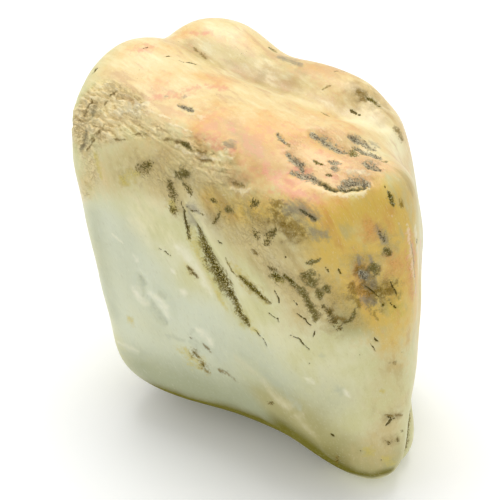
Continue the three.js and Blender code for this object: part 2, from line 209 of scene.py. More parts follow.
SEEN_MARKS = [
    # The long vein of the broad face, and its thin start.
    ("long vein", "vein", 0.85, [(197, 227), (201, 239), (207, 253), (212, 264), (218, 273)]),
    ("long vein, wide", "vein", 1.1, [(204, 249), (210, 261), (216, 271), (223, 283), (230, 296)]),
    ("long vein, end", "vein", 0.45, [(224, 284), (233, 300), (238, 312), (243, 320), (248, 326)]),
    ("long vein, tail", "crack", 0.14,
     [(254, 329), (259, 335), (263, 339), (265, 343), (267, 347)]),
    ("long vein, start", "crack", 0.15, [(181, 202), (183, 215), (186, 228), (189, 240)]),
    ("long vein, fringe", "gold", 0.8,
     [(189, 238), (197, 252), (206, 270), (216, 290), (226, 308)]),
    ("long vein, low fringe", "gold", 0.9, [(236, 306), (245, 321), (256, 331)]),
    ("long vein, start grains", "sprinkle", 0.25, [(184, 220), (188, 232), (191, 241)]),
    ("vein start ochre", "gold", 0.9, [(190, 230), (195, 240), (200, 250)]),
    ("vein start haze", "haze", 1.3, [(188, 214), (193, 223), (200, 233)]),
    # The second, speckled vein.
    ("second vein, start", "sprinkle", 0.2, [(226, 256), (233, 270), (240, 277)]),
    ("second vein", "vein", 0.42, [(240, 276), (248, 284), (256, 291), (262, 297), (270, 303)]),
    ("second vein ochre", "gold", 0.8, [(230, 262), (246, 282), (268, 302)]),
    # Cracks of the middle.
    ("middle crack", "crack", 0.16, [(274, 290), (278, 298), (279, 304)]),
    ("bent crack", "crack", 0.13, [(268, 313), (274, 317), (278, 319), (279, 323)]),
    ("short crack", "crack", 0.14, [(294, 300), (298, 306)]),
    ("lower crack", "crack", 0.15, [(297, 314), (304, 319), (311, 326)]),
    ("long lower crack", "crack", 0.14,
     [(290, 336), (297, 338), (299, 339), (304, 345), (310, 350)]),
    ("hair crack", "crack", 0.12, [(315, 331), (313, 337)]),
    ("small nick", "crack", 0.16, [(218, 240), (223, 244)]),
    ("face nick", "crack", 0.14, [(159, 248), (165, 252), (171, 256)]),
    ("brown spot", "stain", 0.5, [(187, 266), (192, 272), (198, 278)]),
    ("brown spot ochre", "gold", 0.8, [(186, 265), (192, 271), (198, 276)]),
    ("brown spot grains", "sprinkle", 0.3, [(188, 268), (197, 277)]),
    # Speckles at the top of the broad face.
    ("left speckles", "sprinkle", 0.8, [(136, 167), (143, 171), (150, 163)]),
    ("left speckles, ochre", "gold", 0.9, [(122, 180), (130, 176), (138, 172)]),
    ("left speckles, stain", "gold", 0.6, [(120, 178), (128, 184)]),
    ("middle speckles", "sprinkle", 0.62, [(170, 182), (172, 190), (174, 200)]),
    ("middle speckles, low", "sprinkle", 0.7, [(171, 207), (175, 213)]),
    ("middle speckles, ochre", "gold", 0.7, [(171, 200), (173, 212)]),
    ("right speckles", "sprinkle", 0.52, [(184, 184), (189, 189), (191, 194)]),
    ("green spot", "moss", 0.8, [(177, 174), (187, 174)]),
    ("grey loop", "haze", 0.7, [(187, 206), (194, 208), (199, 212)]),
    ("grey loop edge", "sprinkle", 0.22, [(187, 207), (193, 211), (198, 211)]),
    ("small ring", "sprinkle", 0.25, [(201, 213), (204, 215)]),
    ("dark spot", "moss", 0.65, [(226, 209), (232, 210)]),
    ("dark spot streak", "sprinkle", 0.3, [(220, 212), (218, 218), (213, 224)]),
    ("upper speck", "sprinkle", 0.35, [(211, 200), (216, 202)]),
    ("brow speck", "sprinkle", 0.6, [(252, 206), (257, 201)]),
    ("brow speck, low", "sprinkle", 0.6, [(255, 230), (258, 237)]),
    ("brow streak", "sprinkle", 0.5, [(276, 229), (271, 236), (265, 243)]),
    ("faint speck", "stain", 0.5, [(253, 250), (256, 254)]),
    ("tiny speck", "crack", 0.2, [(285, 257), (286, 258)]),
    # The dark group of the middle.
    ("group, left", "sprinkle", 0.42, [(269, 267), (276, 270)]),
    ("group, rusty", "vein", 0.9, [(273, 276), (280, 278)]),
    ("group, rusty ochre", "gold", 0.7, [(274, 278), (281, 280)]),
    ("group, bridge", "vein", 0.4, [(284, 276), (291, 282), (295, 287)]),
    ("group, big", "moss", 0.95, [(304, 274), (309, 277), (313, 284)]),
    ("group, strip", "moss", 0.6, [(298, 286), (303, 293), (309, 303)]),
    ("group, strip low", "moss", 0.65, [(309, 303), (313, 310), (316, 320)]),
    ("group, right", "moss", 0.65, [(318, 290), (321, 297)]),
    ("group, far right", "moss", 0.5, [(325, 286), (329, 292)]),
    ("group, upper", "moss", 0.38, [(307, 263), (314, 262), (319, 259)]),
    ("tick, left", "crack", 0.16, [(325, 267), (329, 272)]),
    ("tick, right", "crack", 0.2, [(338, 269), (341, 274)]),
    ("smear", "stain", 0.8, [(327, 309), (335, 318), (345, 322)]),
    ("smear grains", "sprinkle", 0.45, [(324, 306), (328, 312), (335, 322), (341, 330)]),
    ("smear edge", "moss", 0.32, [(343, 323), (349, 321), (353, 316), (356, 308)]),
    # Grey clouds over the corner.
    ("upper cloud", "haze", 1.2, [(284, 210), (297, 208), (308, 214), (316, 218)]),
    ("upper cloud core", "haze", 0.7, [(297, 208), (305, 213), (315, 220)]),
    ("upper cloud crevice", "pit", 0.3, [(300, 210), (307, 215), (315, 220)]),
    ("lower cloud", "haze", 1.1, [(312, 231), (320, 233), (326, 237)]),
    ("cloud stain", "stain", 1.8, [(276, 206), (279, 216), (285, 225), (294, 231), (302, 233)]),
    ("patch, upper left", "haze", 0.6, [(358, 256), (360, 263)]),
    ("patch, upper right", "haze", 0.5, [(370, 256), (372, 262)]),
    ("patch, middle", "haze", 1.1, [(361, 272), (368, 278), (372, 288)]),
    ("patch, middle stain", "stain", 1.5, [(359, 268), (367, 278), (374, 290)]),
    ("patch, core", "ash", 0.6, [(361, 272), (366, 279)]),
    ("patch, green", "moss", 0.7, [(372, 264), (376, 274)]),
    ("patch, brown", "stain", 2.2, [(364, 284), (374, 294), (386, 292), (392, 286)]),
    ("patch, left brown", "stain", 1.0, [(352, 284), (355, 296), (360, 306)]),
    ("patch, line", "crack", 0.14, [(366, 286), (372, 291), (379, 297)]),
    ("patch, foot", "haze", 0.7, [(362, 299), (369, 301), (376, 303)]),
    ("patch, right line", "crack", 0.15, [(390, 281), (394, 289), (397, 296)]),
    ("patch, rust", "gold", 1.3, [(389, 303), (396, 308), (400, 314)]),
    ("patch, rust dashes", "crack", 0.16, [(391, 303), (396, 309)]),
    ("patch, dot", "vein", 0.25, [(382, 305), (383, 306)]),
    ("rose drip", "stain", 0.3, [(374, 312), (376, 317), (378, 321)]),
    ("rose drip, low", "rose", 0.22, [(382, 329), (383, 333)]),
    ("plum streak", "haze", 0.6, [(377, 226), (380, 234), (386, 243)]),
    ("plum streak grains", "sprinkle", 0.3, [(379, 231), (384, 241)]),
    ("plum streak end", "moss", 0.5, [(385, 249), (390, 255)]),
    ("strong orange", "ochre", 1.4, [(366, 222), (371, 231), (376, 240)]),
    ("strong orange, right", "ochre", 1.7, [(391, 257), (396, 264), (401, 271)]),
    ("orange edge", "ochre", 1.2, [(357, 266), (359, 285), (368, 298)]),
    ("corner dots", "crack", 0.18, [(385, 186), (386, 189)]),
    ("corner streak", "vein", 0.34, [(389, 192), (391, 198), (394, 206)]),
    ("corner streak, right", "stain", 0.4, [(400, 199), (403, 207)]),
    # Painted glints.
    ("corner glint", "chip", 0.25, [(391, 215), (392, 217)]),
    ("corner glint, low", "chip", 0.25, [(398, 222), (399, 224)]),
    # Pits of the upper corner.
    ("upper pit", "ash", 0.42, [(278, 134), (282, 140), (286, 144)]),
    ("upper pit, end", "stain", 0.35, [(287, 144), (291, 147)]),
    ("step pit", "ash", 0.5, [(288, 153), (291, 157), (296, 161), (301, 164), (302, 171)]),
    ("brow groove", "ash", 0.7, [(292, 173), (300, 176), (309, 178), (319, 182)]),
    ("brow groove, end", "pit", 0.42, [(319, 182), (326, 187), (334, 191), (338, 191)]),
    ("main pit", "ash", 0.9, [(341, 187), (350, 184), (360, 183), (367, 186)]),
    # The crevice is painted shade along the pit's edge, and the lip is painted highlight.
    ("main pit, crevice", "pit", 0.34,
     [(337, 191), (346, 191), (353, 190), (359, 189), (366, 189)]),
    ("main pit, lip", "chip", 0.6, [(322, 191), (334, 195), (348, 196), (362, 194), (369, 190)]),
    ("long upper pit", "ash", 0.7, [(311, 133), (320, 137), (328, 143), (336, 149), (346, 152)]),
    ("olive pit", "vein", 0.55, [(348, 152), (353, 153), (357, 156)]),
    ("grey patch", "ash", 0.8, [(350, 136), (358, 139), (366, 143), (374, 149)]),
    ("grey patch, low", "ash", 0.7, [(358, 147), (368, 151), (380, 156)]),
    ("grey patch, crevice", "pit", 0.36, [(354, 147), (364, 152), (375, 156), (387, 160)]),
    ("grey patch, haze", "haze", 0.7, [(370, 142), (378, 147)]),
    ("right pit", "ash", 0.75, [(365, 161), (372, 165), (380, 168)]),
    ("right pit, crevice", "pit", 0.28, [(366, 165), (374, 168), (380, 170)]),
    ("small pit", "vein", 0.26, [(313, 161), (318, 163), (322, 164)]),
    ("small pit, right", "ash", 0.5, [(329, 161), (336, 163), (340, 163)]),
    ("small pit, low", "ash", 0.45, [(332, 168), (340, 170)]),
    ("tiny pit", "vein", 0.2, [(327, 174), (331, 175)]),
    # Painted highlight on a pale ridge.
    ("pale ridge", "chip", 0.6, [(344, 173), (352, 173), (360, 173), (370, 175)]),
    # The back lobe and the valley before it.
    ("back pit", "pit", 0.35, [(270, 48), (276, 52)]),
    ("back shade", "haze", 0.7, [(278, 57), (290, 60), (301, 65)]),
    ("back olive", "stain", 0.8, [(359, 92), (366, 97), (371, 102)]),
    ("back olive line", "vein", 0.4, [(366, 97), (373, 101), (380, 106)]),
    ("valley line", "crack", 0.25, [(350, 108), (355, 111), (360, 113)]),
    ("valley mark", "stain", 0.4, [(322, 112), (329, 116)]),
    # Painted shadow in the notch behind the crown's right edge.
    ("valley notch", "stain", 0.8, [(394, 128), (399, 133), (404, 141)]),
    # Rose and plum flushes of the crown.
    ("rose, middle", "rose", 0.7, [(296, 194), (300, 196), (304, 199)]),
    ("rose, left", "rose", 1.0, [(273, 170), (281, 176), (288, 182)]),
    ("rose, edge", "rose", 1.0, [(262, 168), (278, 183), (296, 196), (318, 198)]),
    ("rose, top left", "rose", 1.0, [(134, 50), (143, 48), (154, 47)]),
    ("rose line, top left", "crack", 0.12, [(142, 48), (148, 47)]),
    ("rose streak", "rose", 0.9, [(152, 98), (168, 95), (184, 92), (198, 88)]),
    ("plum spot", "haze", 0.35, [(165, 96), (168, 96)]),
    ("plum spot, right", "haze", 0.35, [(182, 97), (186, 97)]),
    ("rose streak, middle", "rose", 0.7, [(207, 86), (216, 87), (226, 89)]),
    ("brow plum", "rose", 0.9, [(205, 133), (216, 141), (226, 148), (234, 153)]),
    ("brow plum haze", "haze", 0.8, [(226, 142), (233, 147)]),
    ("rose dash", "rose", 0.5, [(227, 125), (232, 129), (236, 131)]),
    ("pit flush", "rose", 0.7, [(294, 168), (303, 172), (312, 170)]),
    ("pit flush, upper", "rose", 0.7, [(318, 152), (326, 155), (334, 157)]),
    ("pit flush, right", "rose", 0.6, [(330, 176), (340, 178)]),
    ("back lobe flush", "rose", 0.5, [(190, 32), (205, 33), (214, 31)]),
    # The crown's left half.
    ("crown crack", "crack", 0.1, [(160, 58), (166, 56), (172, 56)]),
    ("crown crack, dark", "crack", 0.14, [(179, 60), (183, 62), (190, 63), (198, 66)]),
    ("crown hair line", "crack", 0.09, [(141, 69), (146, 69)]),
    ("crown smear", "stain", 0.34, [(194, 46), (200, 51), (206, 58)]),
    ("crown pit", "ash", 0.42, [(178, 105), (185, 108), (193, 111)]),
    # Painted highlights: the lip of a pit, a bright lump, a glint and the rind's bright ledges.
    ("crown pit lip", "chip", 0.3, [(180, 110), (188, 114), (196, 115)]),
    ("bright lump", "chip", 0.7, [(198, 116), (204, 121)]),
    ("white glint", "chip", 0.8, [(138, 107), (144, 105), (149, 103)]),
    ("bright ledge", "chip", 0.32, [(124, 112), (136, 112), (149, 112), (160, 116), (171, 120)]),
    ("bright ledge, low", "chip", 0.26, [(168, 124), (180, 128), (192, 133)]),
    # Painted shadows under the brow's small ledges, with painted highlight on their lips.
    ("crevice, upper", "stain", 0.3, [(162, 140), (170, 140), (180, 143)]),
    ("crevice, main", "stain", 0.36, [(170, 140), (184, 144), (191, 149), (201, 152), (214, 154)]),
    ("crevice, core", "moss", 0.32, [(182, 143), (187, 146), (191, 149)]),
    ("crevice, main lip", "chip", 0.4, [(176, 146), (190, 153), (206, 157), (220, 160)]),
    ("crevice, second", "stain", 0.35, [(198, 158), (205, 160), (211, 160)]),
    ("rind line", "stain", 0.15, [(112, 139), (120, 140), (126, 140)]),
    ("rind line, upper", "stain", 0.15, [(130, 136), (137, 134), (147, 134)]),
    ("dimple", "stain", 0.4, [(233, 183), (238, 184), (243, 187)]),
    # Painted highlight on the dimple's lip, and a painted glint.
    ("dimple lip", "chip", 0.5, [(232, 188), (238, 191), (246, 191), (251, 188)]),
    ("face glint", "chip", 0.16, [(222, 195), (226, 195)]),
    ("rind pit", "crack", 0.3, [(93, 73), (97, 68)]),
    ("rind scratch", "stain", 0.24, [(105, 125), (98, 134), (92, 143), (87, 150)]),
    ("rind scratch, left", "stain", 0.22, [(100, 130), (90, 140), (80, 148)]),
    ("rind scratch, outer", "stain", 0.22, [(92, 100), (86, 112), (80, 122)]),
    ("rind shade", "haze", 0.5, [(86, 130), (84, 142), (80, 150)]),
    ("rind shade, upper", "haze", 0.5, [(96, 104), (92, 116)]),
    ("rind mark", "stain", 0.25, [(110, 96), (116, 92)]),
    ("rind speck", "stain", 0.25, [(104, 105), (108, 101)]),
    ("left ochre streak", "gold", 0.5, [(96, 153), (98, 165), (101, 178)]),
    # The lower left of the broad face.
    # Painted highlights and painted shade side by side stand in for the relief of flakes, scallops
    # and the left edge.
    ("flake glint", "gleam", 0.6, [(147, 295), (155, 296), (163, 300)]),
    ("flake glint, low", "gleam", 0.5, [(160, 304), (165, 310), (168, 317)]),
    ("flake line", "shade", 0.4, [(139, 277), (143, 285), (143, 297)]),
    ("flake edge", "shade", 0.5, [(150, 301), (154, 310), (160, 317), (166, 324)]),
    ("lower line", "shade", 0.4, [(166, 335), (175, 338), (184, 341)]),
    ("lower dot", "stain", 0.4, [(189, 335), (191, 338)]),
    ("lower streak", "stain", 0.32, [(203, 344), (207, 348), (211, 353)]),
    ("yellow dot", "gold", 0.8, [(129, 318), (132, 323)]),
    ("grey dot", "crack", 0.16, [(109, 308), (110, 309)]),
    ("brown mark", "stain", 1.1, [(193, 352), (197, 356)]),
    ("brown mark core", "moss", 0.3, [(194, 352), (197, 357)]),
    ("brown mark core, low", "moss", 0.25, [(203, 364), (206, 369)]),
    ("brown mark, low", "stain", 1.0, [(201, 362), (204, 366), (207, 371)]),
    ("brown mark, right", "stain", 0.6, [(219, 370), (228, 375), (236, 381)]),
    ("green line", "shade", 0.4, [(119, 344), (133, 352), (142, 353), (156, 357)]),
    ("white scratch", "gleam", 0.3, [(112, 234), (118, 239), (123, 243)]),
    ("flake gleam", "gleam", 0.9, [(133, 288), (140, 297), (146, 304)]),
    ("flake gleam, right", "gleam", 0.6, [(163, 299), (166, 306), (167, 314)]),
    ("flake shade, right", "shade", 0.4, [(160, 292), (166, 298)]),
    ("scallop gleam", "gleam", 0.8, [(196, 329), (206, 335), (212, 345)]),
    ("scallop shade", "shade", 0.4, [(189, 337), (194, 329)]),
    ("scallop pool", "shade", 0.7, [(192, 342), (201, 352)]),
    ("scallop line", "shade", 0.4, [(190, 338), (202, 345), (213, 353)]),
    ("left edge gleam", "gleam", 0.5, [(114, 340), (128, 348), (139, 352)]),
    ("left edge shade", "shade", 0.6, [(120, 351), (134, 357), (146, 358)]),
    # Painted highlight: the pale band beside the long vein.
    ("vein gleam", "gleam", 1.2, [(176, 246), (188, 258), (200, 274), (210, 292)]),
    ("face gleam", "gleam", 0.5, [(134, 256), (138, 261)]),
    ("face gleam, middle", "gleam", 0.4, [(171, 269), (175, 273)]),
    ("face gleam, low", "gleam", 0.5, [(180, 290), (187, 294)]),
    # The ridge above the foot.
    ("ridge grey", "shade", 0.55, [(262, 372), (278, 384), (290, 396), (300, 408)]),
    ("ridge speck", "sprinkle", 0.3, [(269, 404), (273, 402)]),
    ("foot mark", "sprinkle", 0.35, [(337, 455), (338, 459), (337, 463)]),
    ("ridge dash", "crack", 0.2, [(331, 434), (334, 437)]),
    # The lower right.
    ("bird mark", "crack", 0.2, [(396, 417), (391, 420), (385, 426)]),
    ("bird mark, wing", "crack", 0.16, [(387, 417), (391, 418), (388, 422)]),
    ("bird line", "stain", 0.3, [(384, 415), (394, 416), (403, 415)]),
    ("ring", "sprinkle", 0.28, [(387, 441), (390, 443), (388, 445)]),
    ("ring, right", "sprinkle", 0.25, [(397, 438), (399, 441)]),
    ("ring, upper", "sprinkle", 0.22, [(402, 430), (403, 431)]),
    ("foot dot", "crack", 0.18, [(360, 451), (361, 451)]),
    ("foot dot, right", "crack", 0.18, [(381, 460), (382, 460)]),
    ("tiny dot", "crack", 0.16, [(360, 354), (360, 355)]),
    ("tiny dot, left", "crack", 0.14, [(309, 363), (309, 364)]),
    ("tiny dot, right", "crack", 0.14, [(402, 352), (402, 353)]),
    ("yellow flush", "gold", 0.7, [(365, 449), (372, 454)]),
    ("yellow spot", "gold", 0.4, [(381, 391), (383, 392)]),
    ("foot ochre", "gold", 0.7, [(384, 458), (393, 464)]),
    ("side brown mark", "stain", 0.4, [(389, 363), (396, 362)]),
    ("side dash", "crack", 0.13, [(373, 336), (378, 342)]),
    ("side dash, low", "crack", 0.12, [(371, 344), (376, 351)]),
    ("pale fleck", "gleam", 0.4, [(306, 378), (314, 383)]),
    ("pale fleck, right", "gleam", 0.35, [(344, 390), (350, 397)]),
    ("faint brown", "shade", 0.6, [(335, 387), (341, 394)]),
    ("faint green", "shade", 0.5, [(320, 356), (324, 356)]),
    # Olive blooms: wide, thin stains that the dark marks lie in.
    ("left speckles bloom", "bloom", 1.7, [(122, 178), (136, 170), (150, 160)]),
    ("middle speckles bloom", "bloom", 1.5, [(170, 180), (174, 200), (176, 212)]),
    ("green spot bloom", "bloom", 1.6, [(178, 174), (192, 178)]),
    ("dark spot bloom", "bloom", 1.5, [(212, 222), (222, 212), (232, 208)]),
    ("brow bloom", "bloom", 1.4, [(248, 214), (264, 226), (280, 232)]),
    ("cloud bloom", "bloom", 2.6, [(278, 222), (290, 232), (304, 240)]),
    ("second vein bloom", "bloom", 0.8, [(240, 276), (256, 291), (268, 301)]),
    ("group bloom", "bloom", 2.2, [(270, 268), (290, 280), (304, 292), (314, 314)]),
    ("group bloom, right", "bloom", 2.7, [(318, 284), (330, 300), (342, 316), (354, 318)]),
    ("patch bloom", "bloom", 3.2, [(360, 262), (370, 280), (386, 294)]),
    ("corner edge bloom", "bloom", 1.3, [(377, 226), (386, 244), (390, 256)]),
    ("back olive bloom", "bloom", 1.6, [(352, 88), (366, 97), (380, 108)]),
    ("bird bloom", "bloom", 1.0, [(384, 416), (400, 417)]),
    ("ring bloom", "bloom", 1.0, [(385, 441), (398, 440)]),
    ("brown mark gold", "gold", 1.6, [(182, 352), (192, 358), (204, 368)]),
    # Low relief: furrows are pressed in, and welts stand up.
    ("crest furrow", "furrow", 2.2, [(168, 35), (185, 39), (198, 47), (212, 58), (228, 66)]),
    ("crest furrow, middle", "furrow", 2.2, [(228, 66), (246, 75), (264, 81), (292, 88)]),
    ("crest furrow, right", "furrow", 1.8, [(292, 88), (326, 98), (356, 112), (382, 125)]),
    ("vein furrow", "furrow", 1.2, [(184, 212), (206, 250), (224, 282), (246, 322)]),
    ("dimple furrow", "furrow", 1.0, [(232, 183), (246, 187)]),
    ("side furrow", "furrow", 0.8, [(412, 407), (411, 422), (409, 440), (405, 455)]),
    ("step furrow", "furrow", 0.7, [(288, 153), (296, 161), (302, 171)]),
    ("upper furrow", "furrow", 0.9, [(312, 132), (326, 141), (348, 151)]),
    ("upper furrow, right", "furrow", 1.0, [(352, 138), (366, 150), (388, 162)]),
    ("right furrow", "furrow", 0.8, [(362, 161), (380, 169)]),
    ("flake furrow", "furrow", 0.9, [(140, 276), (146, 292), (152, 306), (164, 322)]),
    ("crest welt", "welt", 2.0, [(176, 48), (200, 60), (226, 76), (252, 88), (284, 100)]),
    ("ridge welt", "welt", 1.3, [(238, 359), (262, 380), (290, 404), (318, 436), (334, 456)]),
    ("vein welt", "welt", 1.0, [(204, 222), (222, 252), (242, 284), (258, 314)]),
    ("main pit welt", "welt", 0.9, [(318, 191), (334, 197), (350, 198), (370, 190)]),
    ("pale ridge welt", "welt", 0.8, [(344, 171), (358, 173), (372, 175)]),
    ("groove welt", "welt", 0.8, [(286, 178), (304, 184), (320, 191)]),
    ("flake welt", "welt", 1.0, [(144, 288), (156, 295), (166, 302), (172, 314)]),
    ("crown ledge welt", "welt", 1.0, [(120, 110), (150, 109), (176, 120), (204, 134), (232, 154)]),
    ("dimple welt", "welt", 0.8, [(230, 190), (240, 193), (252, 189)]),
    # The worn right end, seen edge on.
    ("end stripe", "rose", 0.8, [(409, 232), (412, 250), (415, 272), (416, 296)]),
    ("end stripe, brown", "stain", 0.2, [(410, 240), (413, 258), (415, 280)]),
    ("end stripe, low", "ochre", 0.6, [(408, 262), (411, 282), (413, 300)]),
    # Painted highlight along the right end's edge.
    ("end stripe, pale", "chip", 0.5, [(407, 224), (410, 246), (413, 270), (415, 292)]),
    ("end stripe, pale outer", "gleam", 0.5, [(415, 226), (418, 250), (419, 276)]),
    ("end specks", "crack", 0.25, [(417, 238), (417, 244)]),
    ("side crease", "vein", 0.5, [(412, 407), (411, 422), (409, 440), (406, 452)]),
    ("side lobe specks", "sprinkle", 0.4, [(404, 456), (400, 464)]),
]

HIDDEN_MARKS = [
    ("end line", "crack", 0.14, [(2, 32), (5, 26), (6, 18), (4, 10)]),
    ("end stripe, far", "rose", 0.8, [(8, 34), (12, 18), (11, 2)]),
    ("end stain", "stain", 1.2, [(22, 10), (25, 4), (24, -2)]),
    ("back vein", "vein", 0.7, [(66, 26), (63, 20), (58, 14), (55, 6), (49, 0)]),
    ("back vein tail", "crack", 0.2, [(49, 0), (47, -5), (42, -9), (41, -14)]),
    ("back crack line", "crack", 0.16, [(100, 20), (94, 21), (90, 19), (83, 20), (78, 23)]),
    ("back crease line", "stain", 0.7, [(64, -31), (76, -33), (88, -34), (98, -32)]),
    ("back rind pit", "pit", 0.7, [(122, -14), (126, -18), (129, -20)]),
    ("back rind pit, low", "ash", 0.8, [(130, -22), (134, -24), (137, -29)]),
    ("shoulder pit", "pit", 0.5, [(64, 49), (70, 46), (74, 47)]),
    ("shoulder pit, ash", "ash", 0.9, [(62, 52), (70, 49), (80, 48)]),
    ("shoulder rose", "rose", 1.6, [(84, 54), (100, 50), (112, 46)]),
    ("left vein", "vein", 0.45, [(178, 4), (176, -3), (172, -9), (171, -16)]),
    ("left stain", "stain", 1.0, [(168, 20), (165, 13), (160, 8)]),
    ("foot scuff", "chip", 1.2, [(-60, -84), (20, -86), (70, -82)]),
]

# Groups of small marks of one kind that lie along the fibres round a direction. Each has how many
# there are, the direction, how far they spread and how long they are in degrees, and their half
# width in millimetres; lengths and widths vary by GROUP_SIZES.
HIDDEN_GROUPS = [
    ("back blooms", "bloom", 6, (70, 12), 17, 9, 1.7),
    ("back grains", "sprinkle", 16, (70, 12), 22, 6, 0.42),
    ("back patches", "moss", 6, (76, 14), 18, 5, 0.42),
    ("back cracks", "crack", 12, (88, -4), 34, 7, 0.14),
    ("back gold", "gold", 8, (92, 18), 22, 6, 0.9),
    ("back pits", "ash", 4, (104, 44), 24, 9, 0.45),
    ("back gleams", "gleam", 8, (96, -12), 34, 6, 0.7),
    ("rind grains", "sprinkle", 10, (126, -16), 14, 6, 0.4),
    ("left blooms", "bloom", 4, (176, 12), 15, 8, 1.5),
    ("left grains", "sprinkle", 10, (178, 8), 18, 6, 0.45),
    ("left cracks", "crack", 8, (182, -6), 24, 7, 0.14),
    ("left gleams", "gleam", 5, (186, -14), 20, 6, 0.6),
    ("end grains", "sprinkle", 10, (44, 16), 13, 6, 0.4),
    ("end patches", "moss", 4, (42, 14), 10, 4, 0.4),
    ("end cracks", "crack", 9, (52, 2), 20, 8, 0.14),
    ("end gold", "gold", 7, (24, 12), 18, 6, 0.9),
    ("crown freckles", "stain", 8, (70, 66), 14, 5, 0.3),
]

# ---------------------------------------------------------------------------------------------
# Kinds of tints and marks.

# The layers of the finish, from the bottom up. Tints are soft; marks are broken up by the grain.
TINTS = (
    "mint", "sage", "khaki", "cream", "straw", "honey", "bark", "amber", "ivory", "tea", "leaf",
    "peach", "dusk",
)
MARKS = (
    "bloom", "gold", "ochre", "rose", "gleam", "shade", "stain", "haze", "ash", "moss", "pit",
    "vein", "sprinkle", "crack", "chip",
)
# The scar is a tint without a colour: it only says where the surface is rough.
ROUGH_TINTS = ("bark", "scar")
# Tints whose edges stay close to their places.
STEADY_TINTS = ("leaf", "sage", "khaki", "mint")
# Marks with an olive ground round them.
HALOED_MARKS = ("vein", "sprinkle", "moss", "pit")
# Marks where the polish has gone.
WORN_MARKS = ("stain", "ash", "moss", "pit", "vein", "sprinkle", "crack", "chip")
# Marks that are broken up along the stone's layers.
LAYERED_MARKS = ("haze", "ash", "pit")
# Marks that need the finest mesh.
SHARP_MARKS = ("ash", "pit", "moss", "vein", "sprinkle", "crack", "chip")
# Relief without a colour.
LOW_RELIEFS = ("furrow", "welt")

# How a mark fades at its edge. The field of a mark is 1 on its line, 0 at its edge and -1 away
# from it. An edge has the field's weight, where the cover starts and is full, the most it covers,
# how much lumps, grains and dust break it up, and how gritty the mark is.
Edge = namedtuple("Edge", "weight start full most lumps grains dust grit")
MARK_EDGES = {
    "bloom": Edge(0.7, -0.7, 1.1, 0.5, 3.4, 1.8, 1.2, 0.5),
    "gold": Edge(0.8, -0.6, 1.3, 0.65, 3.4, 2.0, 1.6, 0.2),
    "ochre": Edge(0.8, -0.7, 1.2, 0.85, 2.6, 1.2, 0.8, 0.2),
    "rose": Edge(0.8, -0.5, 1.4, 0.65, 4.0, 2.6, 1.8, 0.1),
    "gleam": Edge(0.7, -0.6, 1.3, 0.75, 2.0, 0.8, 0.0, 0.0),
    "shade": Edge(0.7, -0.7, 1.3, 0.7, 2.6, 1.4, 0.6, 0.0),
    "stain": Edge(0.8, -0.3, 1.0, 0.75, 3.0, 1.8, 1.6, 0.4),
    "haze": Edge(0.8, -0.5, 1.0, 0.75, 2.6, 1.6, 0.8, 0.2),
    "ash": Edge(0.9, -0.2, 0.6, 0.88, 2.4, 2.0, 1.6, 0.8),
    "moss": Edge(0.9, -0.4, 0.7, 0.82, 2.6, 2.4, 2.8, 0.6),
    "pit": Edge(0.9, -0.1, 0.6, 0.86, 2.6, 2.2, 1.6, 0.6),
    "vein": Edge(0.8, -0.2, 0.4, 0.92, 1.8, 2.0, 3.4, 1.0),
    "sprinkle": Edge(0.6, 0.2, 0.7, 0.88, 2.2, 2.0, 5.0, 0.3),
    "crack": Edge(1.0, 0.0, 0.5, 0.9, 1.4, 1.8, 1.8, 0.0),
    "chip": Edge(0.9, 0.0, 1.0, 0.48, 2.6, 1.6, 1.0, 0.0),
}
HALO_EDGE = Edge(1.0, -0.5, 0.7, 0.75, 3.0, 1.8, 1.4, 0.0)
FIELD_ENDS = (-0.98, -0.6)  # no mark covers anything below the first, whatever breaks it up

# How small marks of a group vary in length and width, how they run for each degree of length, and
# how far their middles are bent aside.
GROUP_SIZES = (0.4, 1.4)
GROUP_FALL = 0.8
GROUP_SLANT = 0.6
GROUP_BEND = 0.1

TINT_FALL = 1.4  # how fast a tint fades with the square of the distance in reaches
TIP_WIDTH = 0.55  # how wide a mark is at its ends, as a share of its widest
TIP_BLUNTNESS = 0.6  # power of the swelling from there to its middle: lower is blunter
DRIFT_SIZE = 5 * MM  # size of the noise that moves the tints' edges
WOBBLE_SIZE = 0.9 * MM  # size of the noise that moves the marks' edges

MARK_MARGIN = 3  # how far round a mark its spacing counts, in grids
MARK_SPACING = 0.65  # spacing inside a mark, as a share of its half width
SHARP_SPACING = 1.5  # the widest that is inside a sharp mark, in finest grids
SPACING_GROWTH = 0.7  # how much wider it gets with each step away from the mark
ROUGH_ENOUGH = 0.45  # how rough a place is where the rind's grid begins
SPLIT_OVER = 1.35  # an edge longer than this many spacings is split
SPLIT_PASSES = 3
CURVE_SHARE = 0.75  # how much of the surface's curve a new place takes up

FLOOR_SHINE = (0.96, 1.0, 0.94, 1.0)
# Where the lights stand, seen from the stone: shares of the camera's right, of straight up and of
# the way to the camera.
KEY_WAY = (0.0, 1.0, -0.3)
FILL_WAY = (-0.9, 0.5, 0.3)


# ---------------------------------------------------------------------------------------------
# Settings.

def tone(red, green, blue):
    """A display colour, each part from 0 to 255, as the linear values that a shader takes."""
    return tuple(((part / 255 + 0.055) / 1.055) ** 2.4 for part in (red, green, blue))


def length_property(name, description, millimetres):
    return FloatProperty(
        name=name, description=description, default=millimetres * MM, precision=5,
        subtype="DISTANCE", unit="LENGTH",
    )


def share_property(name, description, default):
    return FloatProperty(
        name=name, description=description, default=default, min=0.0, max=1.0, subtype="FACTOR",
    )


def colour_property(name, description, colour):
    return FloatVectorProperty(
        name=name, description=description, default=tone(*colour), min=0.0, max=1.0,
        size=3, subtype="COLOR",
    )


